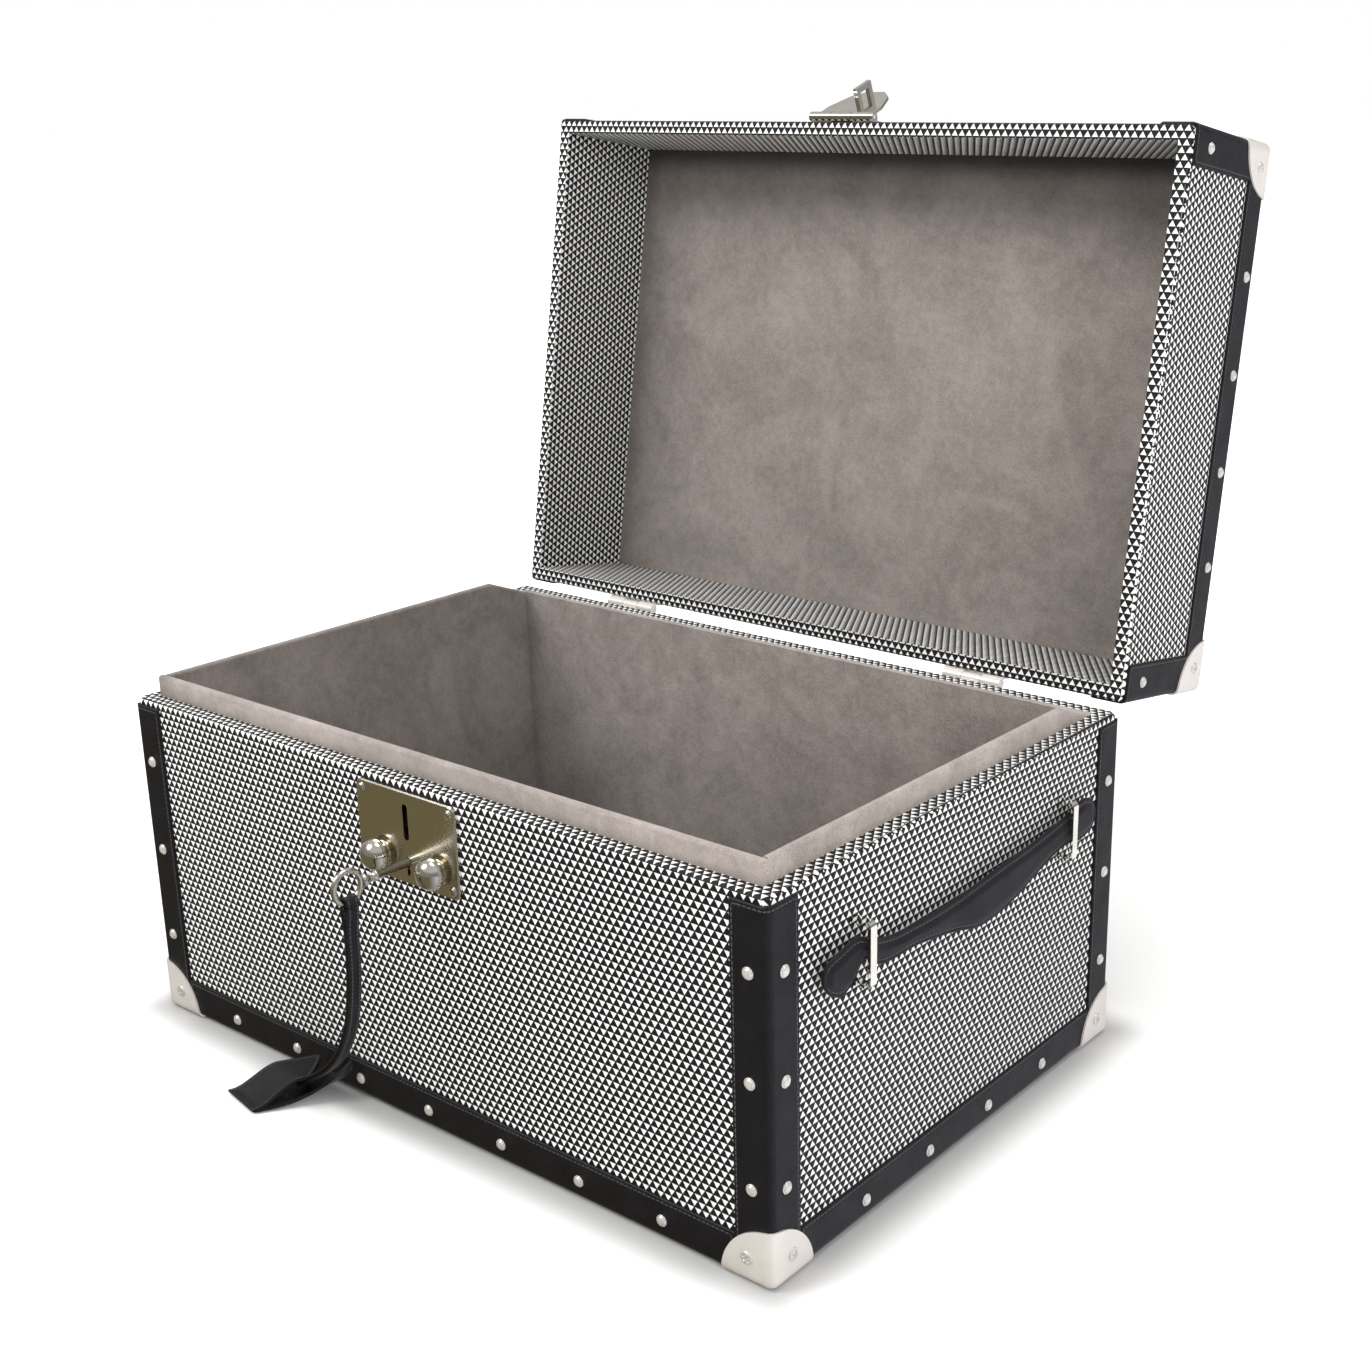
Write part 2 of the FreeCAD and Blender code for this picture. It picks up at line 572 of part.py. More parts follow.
CASE_Y = (FACE_Y, "(%s + case_box_depth)" % FACE_Y)
case_outer = box("case_outer", CASE_X, CASE_Y, (CASE_BOTTOM, CASE_TOP))
case_inner = box("case_inner", ("(%s + case_box_wall)" % CASE_X[0], "(%s - case_box_wall)" % CASE_X[1]),
                 ("(%s - cut_overrun)" % CASE_Y[0], "(%s - case_box_wall)" % CASE_Y[1]),
                 ("(%s + case_box_wall)" % CASE_BOTTOM, "(%s - case_box_wall)" % CASE_TOP))
finish(cut("lock_case", case_outer, case_inner), "lock_case")


def lock_bolt():
    """The sliding bolt: a bar beside the slot, a bridge under it and a tail that the key's bit pushes."""
    staple_low = "(%s + hasp_rise - staple_far + staple_bar / 2)" % PIVOT_Z
    staple_high = "(%s + hasp_rise - staple_near - staple_bar / 2)" % PIVOT_Z
    bar_low = "(%s + bolt_gap * 3)" % staple_low
    bar_high = "(%s - bolt_gap * 3)" % staple_high
    bridge_low = "(%s + keeper_radius + bolt_gap * 2)" % LOCK_LINE
    bridge_high = "(%s - bolt_gap * 5 - staple_bar)" % staple_low
    left = "(0 - %s + case_box_wall + bolt_throw / 2)" % CASE_HALF
    tip = "(0 - staple_width / 2 - bolt_gap * 4)"
    column = "(%s + bolt_throw)" % left
    tail = "bolt_tail"
    tail_end = "(bolt_tail + bolt_tail_width)"
    tail_low = "(%s - bit_drop)" % LOCK_LINE
    points = [(left, bar_high), (left, bridge_low), (tail, bridge_low), (tail, tail_low), (tail_end, tail_low),
              (tail_end, bridge_high), (column, bridge_high), (column, bar_low), (tip, bar_low), (tip, bar_high)]
    return slab("lock_bolt", "XZ_Plane", points, "(case_depth / 2 - bolt_gap - bolt_thick)",
                "(case_depth / 2 - bolt_gap)")


finish(lock_bolt(), "lock_bolt")


def knob(side, across):
    """A push knob: a bevelled dome on a stem that passes through the plate to a nut behind it."""
    spot = ("(%s * %d)" % (KNOB_X, across), LOCK_LINE)
    turns = [360.0 * (step + 0.5) / DOME_SIDES for step in range(DOME_SIDES)]
    rim = [("dome_radius * cos(%.2f)" % turn, "dome_radius * sin(%.2f)" % turn) for turn in turns]
    behind = "(collar_height + knob_travel + knob_gap)"
    middle = "(%s + dome_height / 2)" % behind
    dome = slab("dome_" + side, "XZ_Plane", rim, behind, "(%s + dome_height)" % behind)
    tip = dome.Tip.Shape.BoundBox.YMin
    near = size("dome_height") / 2
    soften(dome, "dome_bevel_" + side, "dome_radius * %.2f" % DOME_BEVEL_SHARE,
           lambda edge: edge.BoundBox.YMax - tip < near, "Chamfer")
    place(dome, spot[0], PLATE_Y, spot[1])
    back = "(%s + keeper_gap)" % FACE_Y
    stem = rod("stem_" + side, "stem_radius", "(%s - %s)" % (PLATE_Y, middle), back, "Y", spot)
    nut = prism("knob_nut_" + side, KEEPER_SIDES, "keeper_radius", "keeper_thick", (0, 1, 0),
                spot[0], back, spot[1])
    return fuse("knob_" + side, dome, stem, nut)


for knob_side, knob_across in SIDES.items():
    finish(knob(knob_side, knob_across), "knob_" + knob_side)


def key():
    """A key in the lock: a round shank with its bit behind the plate and a ring bow outside."""
    tip = "(%s + bolt_gap + bolt_thick + key_tail)" % FACE_Y
    collar = "(%s - key_reach)" % PLATE_Y
    shank = rod("key_shank", "key_radius", collar, tip, "Y", ("0", LOCK_LINE))
    neck = rod("key_collar", "key_collar_radius", collar, "(%s + key_collar_thick)" % collar, "Y",
               ("0", LOCK_LINE))
    bit = box("key_bit", ("(0 - bit_width / 2)", "(bit_width / 2)"),
              ("(%s + bolt_gap)" % FACE_Y, "(%s + bolt_gap + bolt_thick)" % FACE_Y),
              ("(%s - bit_drop)" % LOCK_LINE, LOCK_LINE))
    middle_y = "(%s - bow_radius)" % collar
    rings = [rod("key_bow_" + name, radius, "(0 - %s)" % half, half, "X", (middle_y, LOCK_LINE))
             for name, radius, half in (("rim", "bow_radius + bow_wire", "bow_wire"),
                                        ("hole", "bow_radius - bow_wire", "bow_wire * 2"))]
    bow = cut("key_bow", *rings)
    return fuse("key", shank, neck, bit, bow)


finish(key(), "key")


def key_strap():
    """The key's hanging strap: a round tube along straight runs joined by tangent arcs."""
    points = [FreeCAD.Vector(*spot) for spot in STRAP_ROUTE]
    edges = []
    start = points[0]
    radii = []
    for before, corner, after in zip(points, points[1:], points[2:]):
        run_in = corner - before
        run_out = after - corner
        turn = run_in.getAngle(run_out)
        back = ROUTE_BEND_SHARE * min(run_in.Length, run_out.Length)
        radii.append(back / math.tan(turn / 2))
        arc_start = corner - run_in.normalize() * back
        arc_end = corner + run_out.normalize() * back
        bisector = (arc_start + arc_end) * 0.5 - corner
        depth = radii[-1] / math.cos(turn / 2) - radii[-1]
        arc_middle = corner + bisector.normalize() * depth
        edges.append(Part.LineSegment(start, arc_start).toShape())
        edges.append(Part.Arc(arc_start, arc_middle, arc_end).toShape())
        start = arc_end
    edges.append(Part.LineSegment(start, points[-1]).toShape())
    path = Part.Wire(edges)
    radius = size("strap_width") / 2 / math.cos(math.pi / STRAP_SIDES)
    steps = [2 * math.pi * (step + 0.5) / STRAP_SIDES for step in range(STRAP_SIDES)]
    corners = [points[0] + FreeCAD.Vector(math.cos(step), math.sin(step), 0) * radius for step in steps]
    tube = path.makePipeShell([Part.makePolygon(corners + corners[:1])], True, False)
    section = STRAP_SIDES * math.sin(2 * math.pi / STRAP_SIDES) / 2 * radius ** 2
    print("strap length %.1f, radii %s, volume over section times length %.4f"
          % (path.Length, [round(each, 1) for each in radii], tube.Volume / (section * path.Length)))
    item = doc.addObject("Part::Feature", "key_strap")
    item.Shape = tube
    item.Placement = FreeCAD.Placement()
    return item


finish(key_strap(), "key_strap")


def key_tag():
    """The leather tag on the ground: flat at its fold, opening to a wide mouth that the strap enters."""
    tag = doc.addObject("Part::Wedge", "key_tag")
    bind(tag, Xmin="0 - tag_width / 2", Xmax="tag_width / 2", Ymin="0", Ymax="tag_length", Zmin="0",
         Zmax="tag_thick", X2min="tag_lean - tag_mouth / 2", X2max="tag_lean + tag_mouth / 2", Z2min="0",
         Z2max="tag_open")
    tag.Placement = FreeCAD.Placement(FreeCAD.Vector(), FreeCAD.Rotation(FreeCAD.Vector(0, 0, 1), 0))
    place(tag, "(0 - tag_left)", "(%s - tag_front)" % FACE_Y, "0")
    return tag


finish(key_tag(), "key_tag")

HINGE_X = {side: "(%d * (case_width / 2 - hinge_inset))" % across for side, across in SIDES.items()}


def hinge_leaf(name, side, direction, pivot_y, pivot_z):
    """A leaf on the back face, with its knuckles: the base's middle one, or the lid's outer two."""
    centre = HINGE_X[side]
    half = "(hinge_width / 2)"
    mid = "(knuckle_width / 2)"
    gap = "(hinge_play / 2)"
    face = ("(%s - hinge_offset)" % pivot_y, "(%s - hinge_offset + leaf_thick)" % pivot_y)
    start = "(%s + (knuckle_radius + hinge_play) * %d)" % (pivot_z, direction)
    end = "(%s + leaf_length * %d)" % (pivot_z, direction)
    z = (start, end) if direction > 0 else (end, start)
    plate = box(name + "_plate", ("(%s - %s)" % (centre, half), "(%s + %s)" % (centre, half)), face, z)
    if direction < 0:
        spans = [("(%s - %s + %s)" % (centre, mid, gap), "(%s + %s - %s)" % (centre, mid, gap))]
    else:
        spans = [("(%s - %s)" % (centre, half), "(%s - %s - %s)" % (centre, mid, gap)),
                 ("(%s + %s + %s)" % (centre, mid, gap), "(%s + %s)" % (centre, half))]
    shapes = [plate]
    tongue_z = (pivot_z, start) if direction > 0 else (start, pivot_z)
    for number, span in enumerate(spans):
        shapes.append(rod("%s_knuckle%d" % (name, number), "knuckle_radius", *span, "X", (pivot_y, pivot_z)))
        shapes.append(box("%s_tongue%d" % (name, number), span, face, tongue_z))
    if direction < 0:
        shapes.append(stop_lug(name, spans[0], pivot_y, pivot_z))
    bore = rod(name + "_bore", "pin_radius + pin_clear", "(%s - %s - cut_overrun)" % (centre, half),
               "(%s + %s + cut_overrun)" % (centre, half), "X", (pivot_y, pivot_z))
    return cut(name, fuse(name, *shapes), bore)


def stop_lug(name, span, pivot_y, pivot_z):
    """The lug on the middle knuckle that the lid's leaf comes to rest on when the lid is open."""
    lug = doc.addObject("Part::Box", name + "_stop")
    top = "(hinge_offset - leaf_thick - stop_gap)"
    bind(lug, Length="%s - %s" % (span[1], span[0]), Width="stop_reach", Height=top)
    lug.Placement = FreeCAD.Placement(FreeCAD.Vector(), FreeCAD.Rotation(FreeCAD.Vector(1, 0, 0), 0))
    place(lug, span[0], pivot_y, pivot_z)
    bind(lug, Placement__Rotation__Angle="90 - lid_open")
    return lug


def hinge_pins():
    """The pins of the lid's two hinges."""
    pins = [rod("hinge_pin_" + side, "pin_radius", "(%s - hinge_width / 2)" % centre,
                "(%s + hinge_width / 2)" % centre, "X", (PIVOT_Y, PIVOT_Z)) for side, centre in HINGE_X.items()]
    return group("hinge_pins", *pins)


for hinge_side in SIDES:
    leaf_name = "hinge_base_leaf_" + hinge_side
    finish(hinge_leaf(leaf_name, hinge_side, -1, PIVOT_Y, PIVOT_Z), leaf_name)
finish(hinge_pins(), "hinge_pins")


def handle_loop(end, side, across):
    """A staple of flat bar that stands off the side of the case and holds the handle's strap."""
    name = "handle_loop_%s_%s" % (end, side)
    face = "case_width / 2"
    low = "loop_rise"
    high = "(loop_rise + loop_height)"
    out = "(%s + loop_reach)" % face
    points = [(face, low), (out, low), (out, high), (face, high), (face, "(%s - loop_bar)" % high),
              ("(%s - loop_bar)" % out, "(%s - loop_bar)" % high),
              ("(%s - loop_bar)" % out, "(%s + loop_bar)" % low), (face, "(%s + loop_bar)" % low)]
    points = [("(%s) * %d" % (x, across), z) for x, z in points]
    centre = "(loop_spread * %d)" % -ENDS[end]
    body = slab(name, "XZ_Plane", points, "(%s - loop_width / 2)" % centre, "(%s + loop_width / 2)" % centre)
    far = max(abs(body.Tip.Shape.BoundBox.XMin), abs(body.Tip.Shape.BoundBox.XMax))
    near = size("loop_bar") / 2
    soften(body, name + "_round", "loop_round",
           lambda edge: runs_along(edge, "y") and abs(abs(middle(edge).x) - far) < near)
    return finish(body, name)


def handle_profile():
    """The strap's outline along the case: a belly between two necks, and a rounded tab at each end."""
    top = "handle_line"
    low = "(%s - handle_neck)" % top
    points = []
    for step in (-1, 1):
        shift = "(0 - handle_slip)"
        far = "(%s + handle_reach * %d)" % (shift, step)
        tab = "(%s + (handle_reach - handle_end) * %d)" % (shift, step)
        neck = "(%s + loop_spread * %d)" % (shift, step)
        droop = "(%s - tab_droop)" % top
        tab_low = "(%s - tab_width)" % droop
        belly = "(%s + loop_spread / 2 * %d)" % (shift, step)
        belly_low = "(%s - handle_sag - (handle_belly + handle_neck) / 2)" % top
        half = [(belly, belly_low), (neck, low), (tab, tab_low),
                (far, "(%s + tab_width * %.2f)" % (tab_low, TAB_CORNER_SHARE)),
                (far, "(%s - tab_width * %.2f)" % (droop, TAB_CORNER_SHARE)), (tab, droop),
                (neck, top)]
        points.append(half)
    middle_low = ("(0 - handle_slip)", "(%s - handle_sag - handle_belly)" % top)
    middle_top = ("(0 - handle_slip)", "(%s - handle_sag)" % top)
    return points[0][::-1] + [middle_low] + points[1] + [middle_top]


def handle(side, across):
    """A padded leather strap that slides in its two loops."""
    name = "handle_" + side
    far = "(case_width / 2 + loop_reach - loop_bar - handle_clear)"
    near = "(%s - handle_thick)" % far
    x = (near, far) if across > 0 else ("(0 - %s)" % far, "(0 - %s)" % near)
    body = slab(name, "YZ_Plane", handle_profile(), x[0], x[1])
    soften(body, name + "_bevel", "handle_bevel", lambda edge: not runs_along(edge, "x"), "Chamfer")
    return finish(body, name)


for handle_side, handle_across in SIDES.items():
    handle_loop("front", handle_side, handle_across)
    handle_loop("back", handle_side, handle_across)
    handle(handle_side, handle_across)

# The lid, drawn closed about its hinge line and then swung open.
LID_LEATHER_Y = lid_depth("trim_thick")
LID_CAP_Y = lid_depth("(trim_thick + cap_thick)")
LID_CAP_TOP = "(%s + trim_thick + cap_thick)" % LID_TOP
LID_UNDER = "(%s - lid_wall)" % LID_TOP
lid_canvas_block = bevelled_block("lid_canvas_block", around("0"), lid_depth("0"), (LID_LOW, LID_TOP),
                                  "edge_bevel", "bottom", "rim_bevel")
lid_core_block = bevelled_block("lid_core_block", around("(0 - canvas_thick)"),
                                lid_depth("(0 - canvas_thick)"),
                                ("(%s + canvas_thick)" % LID_LOW, "(%s - canvas_thick)" % LID_TOP),
                                "edge_bevel", "bottom", "rim_bevel")
lid_leather_block = closed_block("lid_leather_block", around("trim_thick"), LID_LEATHER_Y,
                                 ("(%s + lid_trim_drop)" % LID_LOW, "(%s + trim_thick)" % LID_TOP), "trim_bevel",
                                 "bottom")
lid_cap_block = closed_block("lid_cap_block", CAP_X, LID_CAP_Y, (LID_LOW, LID_CAP_TOP), "cap_bevel", "bottom")
BELOW_LID = "(%s - cut_overrun)" % LID_LOW
lid_cavity = box("lid_cavity", around("(0 - lid_wall)"), lid_depth("(0 - lid_wall)"), (BELOW_LID, LID_UNDER))
lid_walls_inside = box("lid_walls_inside", around("(0 - lid_wall + canvas_thick)"),
                       lid_depth("(0 - lid_wall + canvas_thick)"), (BELOW_LID, LID_UNDER))
lid_shell = cut("lid_shell", lid_core_block, lid_walls_inside)


def lid_pieces():
    """Canvas inside and out, five boards, the suede panel, leather strips and metal corners."""
    canvas = cut("lid_canvas", lid_canvas_block, lid_shell, lid_cavity)
    top_span = box("lid_top_span", around("0"), lid_depth("0"), (LID_UNDER, LID_TOP))
    boards = {"lid_top_board": common("lid_top_board", lid_shell, top_span)}
    wall_z = (BELOW_LID, LID_UNDER)
    for end, along in ENDS.items():
        name = "lid_%s_board" % end
        span = box(name + "_span", around("0"), reach(*lid_depth("0"), along, "lid_wall"), wall_z)
        boards[name] = common(name, lid_shell, span)
    for side, across in SIDES.items():
        name = "lid_%s_board" % side
        span = box(name + "_span", reach(*around("0"), across, "lid_wall"), lid_depth("(0 - lid_wall)"), wall_z)
        boards[name] = common(name, lid_shell, span)
    ceiling = slab("lid_ceiling", "XY_Plane", rectangle(around("(0 - lid_wall)"), lid_depth("(0 - lid_wall)")),
                   "(%s - ceiling_thick)" % LID_UNDER, LID_UNDER)
    pieces = {"lid_canvas": canvas, **boards, "lid_ceiling": ceiling}
    pieces.update(lid_trims())
    caps = corner_caps("lid", lid_cap_block, lid_leather_block, LID_CAP_Y, LID_CAP_TOP)
    pieces["lid_caps"] = group("lid_caps", *caps)
    rises = ["(%s + lid_stud_rise)" % LID_LOW]
    edge_z = "(%s + trim_thick - stud_edge)" % LID_TOP
    pieces["lid_studs"] = group("lid_studs", *studs("lid", LID_LEATHER_Y, edge_z, rises))
    heads = cap_screws("lid", LID_CAP_Y, "(%s - cap_screw_rise)" % LID_CAP_TOP)
    heads += hinge_screws("lid", "(%s + leaf_thick)" % LID_BACK, 1)
    pieces["lid_screws"] = group("lid_screws", *heads)
    for side in SIDES:
        name = "hinge_lid_leaf_" + side
        pieces[name] = hinge_leaf(name, side, 1, "0", "0")
    pieces["hasp_plate"] = hasp_plate()
    pieces["hasp_pin"] = hasp_pin()
    for name, piece in pieces.items():
        open_lid(piece)
        finish(piece, name)


def lid_trims():
    """The lid's corner strips, and the strips round its top edges."""
    high = ("(%s + trim_thick - trim_width)" % LID_TOP, "(%s + trim_thick)" % LID_TOP)
    tall = ("(%s + lid_trim_drop)" % LID_LOW, high[1])
    between_x = ("(%s + trim_width)" % LEATHER_X[0], "(%s - trim_width)" % LEATHER_X[1])
    between_y = ("(%s + trim_width)" % LID_LEATHER_Y[0], "(%s - trim_width)" % LID_LEATHER_Y[1])
    corners = []
    edges = []
    for end, along in ENDS.items():
        y = reach(*LID_LEATHER_Y, along, "trim_width")
        for side, across in SIDES.items():
            x = reach(*LEATHER_X, across, "trim_width")
            corners.append(leather_edge("lid_corner_%s_%s" % (end, side), lid_leather_block, lid_canvas_block,
                                        x, y, tall))
        edges.append(leather_edge("lid_edge_" + end, lid_leather_block, lid_canvas_block, between_x, y, high))
    for side, across in SIDES.items():
        x = reach(*LEATHER_X, across, "trim_width")
        edges.append(leather_edge("lid_edge_" + side, lid_leather_block, lid_canvas_block, x, between_y, high))
    return {"lid_corner_trims": group("lid_corner_trims", *corners),
            "lid_edge_trims": group("lid_edge_trims", *edges)}


HASP_Y = "(%s - hasp_stand)" % LID_FRONT
HASP_Z = "hasp_rise"
HASP_SPANS = [("(0 - hasp_width / 2)", "(0 - hasp_knuckle / 2 - hinge_play / 2)"),
              ("(hasp_knuckle / 2 + hinge_play / 2)", "(hasp_width / 2)")]


def hasp_plate():
    """The plate on the lid's front that carries the hasp's two outer knuckles."""
    face = ("(%s - hasp_plate_thick)" % LID_FRONT, LID_FRONT)
    low = "(%s + hasp_radius + hinge_play)" % HASP_Z
    plate = box("hasp_plate_flat", ("(0 - hasp_width / 2)", "(hasp_width / 2)"), face,
                (low, "(%s + hasp_plate_height)" % HASP_Z))
    shapes = [plate]
    for number, span in enumerate(HASP_SPANS):
        shapes.append(rod("hasp_plate_knuckle%d" % number, "hasp_radius", *span, "X", (HASP_Y, HASP_Z)))
        shapes.append(box("hasp_plate_tongue%d" % number, span, (HASP_Y, face[1]), (HASP_Z, low)))
    bore = rod("hasp_plate_bore", "hasp_pin_radius + pin_clear", "(0 - hasp_width / 2 - cut_overrun)",
               "(hasp_width / 2 + cut_overrun)", "X", (HASP_Y, HASP_Z))
    return cut("hasp_plate", fuse("hasp_plate", *shapes), bore)


def hasp_pin():
    """The pin of the hasp's hinge."""
    pin = rod("hasp_pin_rod", "hasp_pin_radius", "(0 - hasp_width / 2)", "(hasp_width / 2)", "X",
              (HASP_Y, HASP_Z))
    return group("hasp_pin", pin)


lid_pieces()


def hasp_leaf():
    """The hasp, drawn hanging from its pin at the origin: a shield with a staple on its inner face."""
    half = "(shield_width / 2)"
    waist = "(0 - shield_waist)"
    foot = "(0 - shield_length)"
    shoulder = "(0 - hasp_radius - hinge_play)"
    hip = "(%s * %.2f)" % (half, SHIELD_HIP_SHARES[0])
    hip_low = "(%s * %.2f)" % (foot, SHIELD_HIP_SHARES[1])
    toe = "(%s * %.2f)" % (half, SHIELD_TOE_SHARE)
    points = [("(0 - %s)" % half, shoulder), (half, shoulder), (half, waist), (hip, hip_low), (toe, foot),
              ("(0 - %s)" % toe, foot), ("(0 - %s)" % hip, hip_low), ("(0 - %s)" % half, waist)]
    inner_face = "(hasp_stand - plate_thick - shield_gap)"
    shield = slab("hasp_shield", "XZ_Plane", points, "(0 - %s)" % inner_face,
                  "(shield_thick - %s)" % inner_face)
    soften(shield, "hasp_shield_corners", "shield_round", lambda edge: runs_along(edge, "y"))
    span = ("(0 - hasp_knuckle / 2 + hinge_play / 2)", "(hasp_knuckle / 2 - hinge_play / 2)")
    knuckle = rod("hasp_leaf_knuckle", "hasp_radius", *span, "X", ("0", "0"))
    tongue = box("hasp_leaf_tongue", span, ("(%s - shield_thick)" % inner_face, inner_face), (shoulder, "0"))
    width = ("(0 - staple_width / 2)", "(staple_width / 2)")
    tall = ("(0 - staple_far - staple_bar / 2)", "(0 - staple_near + staple_bar / 2)")
    staple = box("staple_outer", width, (inner_face, "(%s + staple_depth)" % inner_face), tall)
    window = box("staple_window", ("(0 - cut_overrun)", "cut_overrun"),
                 (inner_face, "(%s + staple_depth - staple_bar)" % inner_face),
                 ("(%s + staple_bar)" % tall[0], "(%s - staple_bar)" % tall[1]))
    bore = rod("hasp_leaf_bore", "hasp_pin_radius + pin_clear", "(0 - cut_overrun - hasp_knuckle)",
               "(cut_overrun + hasp_knuckle)", "X", ("0", "0"))
    leaf = cut("hasp_leaf", fuse("hasp_leaf", shield, knuckle, tongue, cut("staple", staple, window)), bore)
    leaf.Placement = FreeCAD.Placement(FreeCAD.Vector(), FreeCAD.Rotation(FreeCAD.Vector(1, 0, 0), 0))
    out = "(case_depth + hinge_offset + hasp_stand)"
    place(leaf, "0", "%s - %s * cos(lid_open) + hasp_rise * sin(lid_open)" % (PIVOT_Y, out),
          "%s + %s * sin(lid_open) + hasp_rise * cos(lid_open)" % (PIVOT_Z, out))
    bind(leaf, Placement__Rotation__Angle="0 - lid_open - hasp_open")
    return leaf


finish(hasp_leaf(), "hasp_leaf")

doc.recompute()
for item in doc.Objects:
    if "Invalid" in item.State or "Error" in item.State:
        raise SystemExit("%s did not build: %s" % (item.Label, item.State))
for item in PIECES:
    if item.Shape.isNull() or not item.Shape.isValid() or not item.Shape.Solids:
        raise SystemExit("%s has no valid shape" % item.Label)

os.makedirs("parts", exist_ok=True)
for item in PIECES:
    item.Shape.exportStep("parts/%s.step" % item.Label)
print("%d pieces" % len(PIECES))
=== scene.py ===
"""Looks of a studded travel trunk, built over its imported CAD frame. Shapes are drawn in mm, and materials
measure in metres, both in the row frame."""

import math

import bpy
import numpy as np
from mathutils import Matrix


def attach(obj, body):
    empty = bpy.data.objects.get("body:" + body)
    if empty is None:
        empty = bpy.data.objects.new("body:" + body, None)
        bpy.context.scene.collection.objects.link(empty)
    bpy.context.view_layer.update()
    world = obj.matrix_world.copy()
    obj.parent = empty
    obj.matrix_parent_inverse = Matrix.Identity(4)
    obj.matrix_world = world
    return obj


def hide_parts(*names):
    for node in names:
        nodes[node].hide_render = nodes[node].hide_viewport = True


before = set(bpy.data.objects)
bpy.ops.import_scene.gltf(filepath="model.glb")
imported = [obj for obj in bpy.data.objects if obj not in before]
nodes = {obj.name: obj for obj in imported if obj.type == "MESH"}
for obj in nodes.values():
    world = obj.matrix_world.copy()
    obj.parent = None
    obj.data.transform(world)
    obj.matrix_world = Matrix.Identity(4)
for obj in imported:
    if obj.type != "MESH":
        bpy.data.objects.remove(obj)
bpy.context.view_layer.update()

# Sizes in mm that several pieces share; the lid's are taken while it is closed, from its hinge line
MM = 0.001
LID_TURN = math.radians(99.3)
HINGE_LINE = np.array([0.0, 170.2, 211.2])
FRONT, BACK, LEFT, RIGHT = (0, -1, 0), (0, 1, 0), (-1, 0, 0), (1, 0, 0)
SIDE_X = 250.0
FACE_Y = 167.5
LID_MIDDLE = -170.2
PLATE_FRONT = -168.2
LOCK_LINE = 166.0


def show(name, data):
    """A new object in the scene."""
    made = bpy.data.objects.new(name, data)
    bpy.context.scene.collection.objects.link(made)
    return made


# The camera

def place_camera():
    """The photograph's own view; the picture was cropped off centre, which the shift repeats."""
    data = bpy.data.cameras.new("camera")
    data.sensor_width = 36.0
    data.lens = 48.787
    data.shift_x = -0.07198
    data.shift_y = -0.00097
    data.clip_start = 0.05
    data.clip_end = 60.0
    camera = show("camera", data)
    camera.location = (0.7389, -0.7711, 0.5672)
    camera.rotation_euler = [math.radians(angle) for angle in (72.0523, 0.57238, 38.18714)]
    bpy.context.scene.camera = camera


place_camera()
bpy.context.scene.view_settings.view_transform = "Standard"


# Node helpers

def put(socket, value):
    """Links a socket to an input, or sets the input to a plain value."""
    if isinstance(value, bpy.types.NodeSocket):
        socket.id_data.links.new(value, socket)
    elif value is not None:
        socket.default_value = value


def add(tree, kind, settings=None, **inputs):
    """A new node with its own settings, and inputs by name, where _ stands for a space."""
    made = tree.nodes.new(kind)
    for name, value in (settings or {}).items():
        setattr(made, name, value)
    for name, value in inputs.items():
        put(made.inputs[name.replace("_", " ")], value)
    return made


def calc(tree, operation, *values):
    """One Math node's result."""
    made = tree.nodes.new("ShaderNodeMath")
    made.operation = operation
    for socket, value in zip(made.inputs, values):
        put(socket, value)
    return made.outputs[0]


def plus(tree, first, second):
    """first + second."""
    return calc(tree, "ADD", first, second)


def minus(tree, first, second):
    """first - second."""
    return calc(tree, "SUBTRACT", first, second)


def times(tree, first, second):
    """first x second."""
    return calc(tree, "MULTIPLY", first, second)


def split(tree, vector):
    """A vector's X, Y and Z."""
    return add(tree, "ShaderNodeSeparateXYZ", Vector=vector).outputs


def ramp(tree, value, low, high, start=0.0, end=1.0):
    """value from low to high becomes start to end in a smooth step."""
    made = add(tree, "ShaderNodeMapRange", {"interpolation_type": "SMOOTHSTEP"}, Value=value)
    for name, number in (("From Min", low), ("From Max", high), ("To Min", start), ("To Max", end)):
        put(made.inputs[name], number)
    return made.outputs["Result"]


def blend_colour(tree, share, first, second):
    """first where share is 0, second where it is 1."""
    made = tree.nodes.new("ShaderNodeMix")
    made.data_type = "RGBA"
    put(made.inputs["Factor"], share)
    put(made.inputs["A"], first if isinstance(first, bpy.types.NodeSocket) else (*first, 1.0))
    put(made.inputs["B"], second if isinstance(second, bpy.types.NodeSocket) else (*second, 1.0))
    return made.outputs["Result"]


def noise(tree, vector, scale, detail, roughness=0.55, distortion=0.0):
    """Cloudy noise between 0 and 1 over a vector."""
    made = add(tree, "ShaderNodeTexNoise", Vector=vector, Scale=scale, Detail=detail,
               Roughness=roughness, Distortion=distortion)
    return made.outputs["Fac"]


def new_group(name, inputs, outputs):
    """A shader node group: its tree, its input sockets by name, and its output node."""
    tree = bpy.data.node_groups.new(name, "ShaderNodeTree")
    for socket, kind in inputs.items():
        tree.interface.new_socket(name=socket, in_out="INPUT", socket_type="NodeSocket" + kind)
    for socket, kind in outputs.items():
        tree.interface.new_socket(name=socket, in_out="OUTPUT", socket_type="NodeSocket" + kind)
    source = tree.nodes.new("NodeGroupInput")
    return tree, source.outputs, tree.nodes.new("NodeGroupOutput").inputs


def use(tree, group, **inputs):
    """Places a group in a material and gives back its outputs."""
    made = add(tree, "ShaderNodeGroup", {"node_tree": group}, **inputs)
    return made.outputs


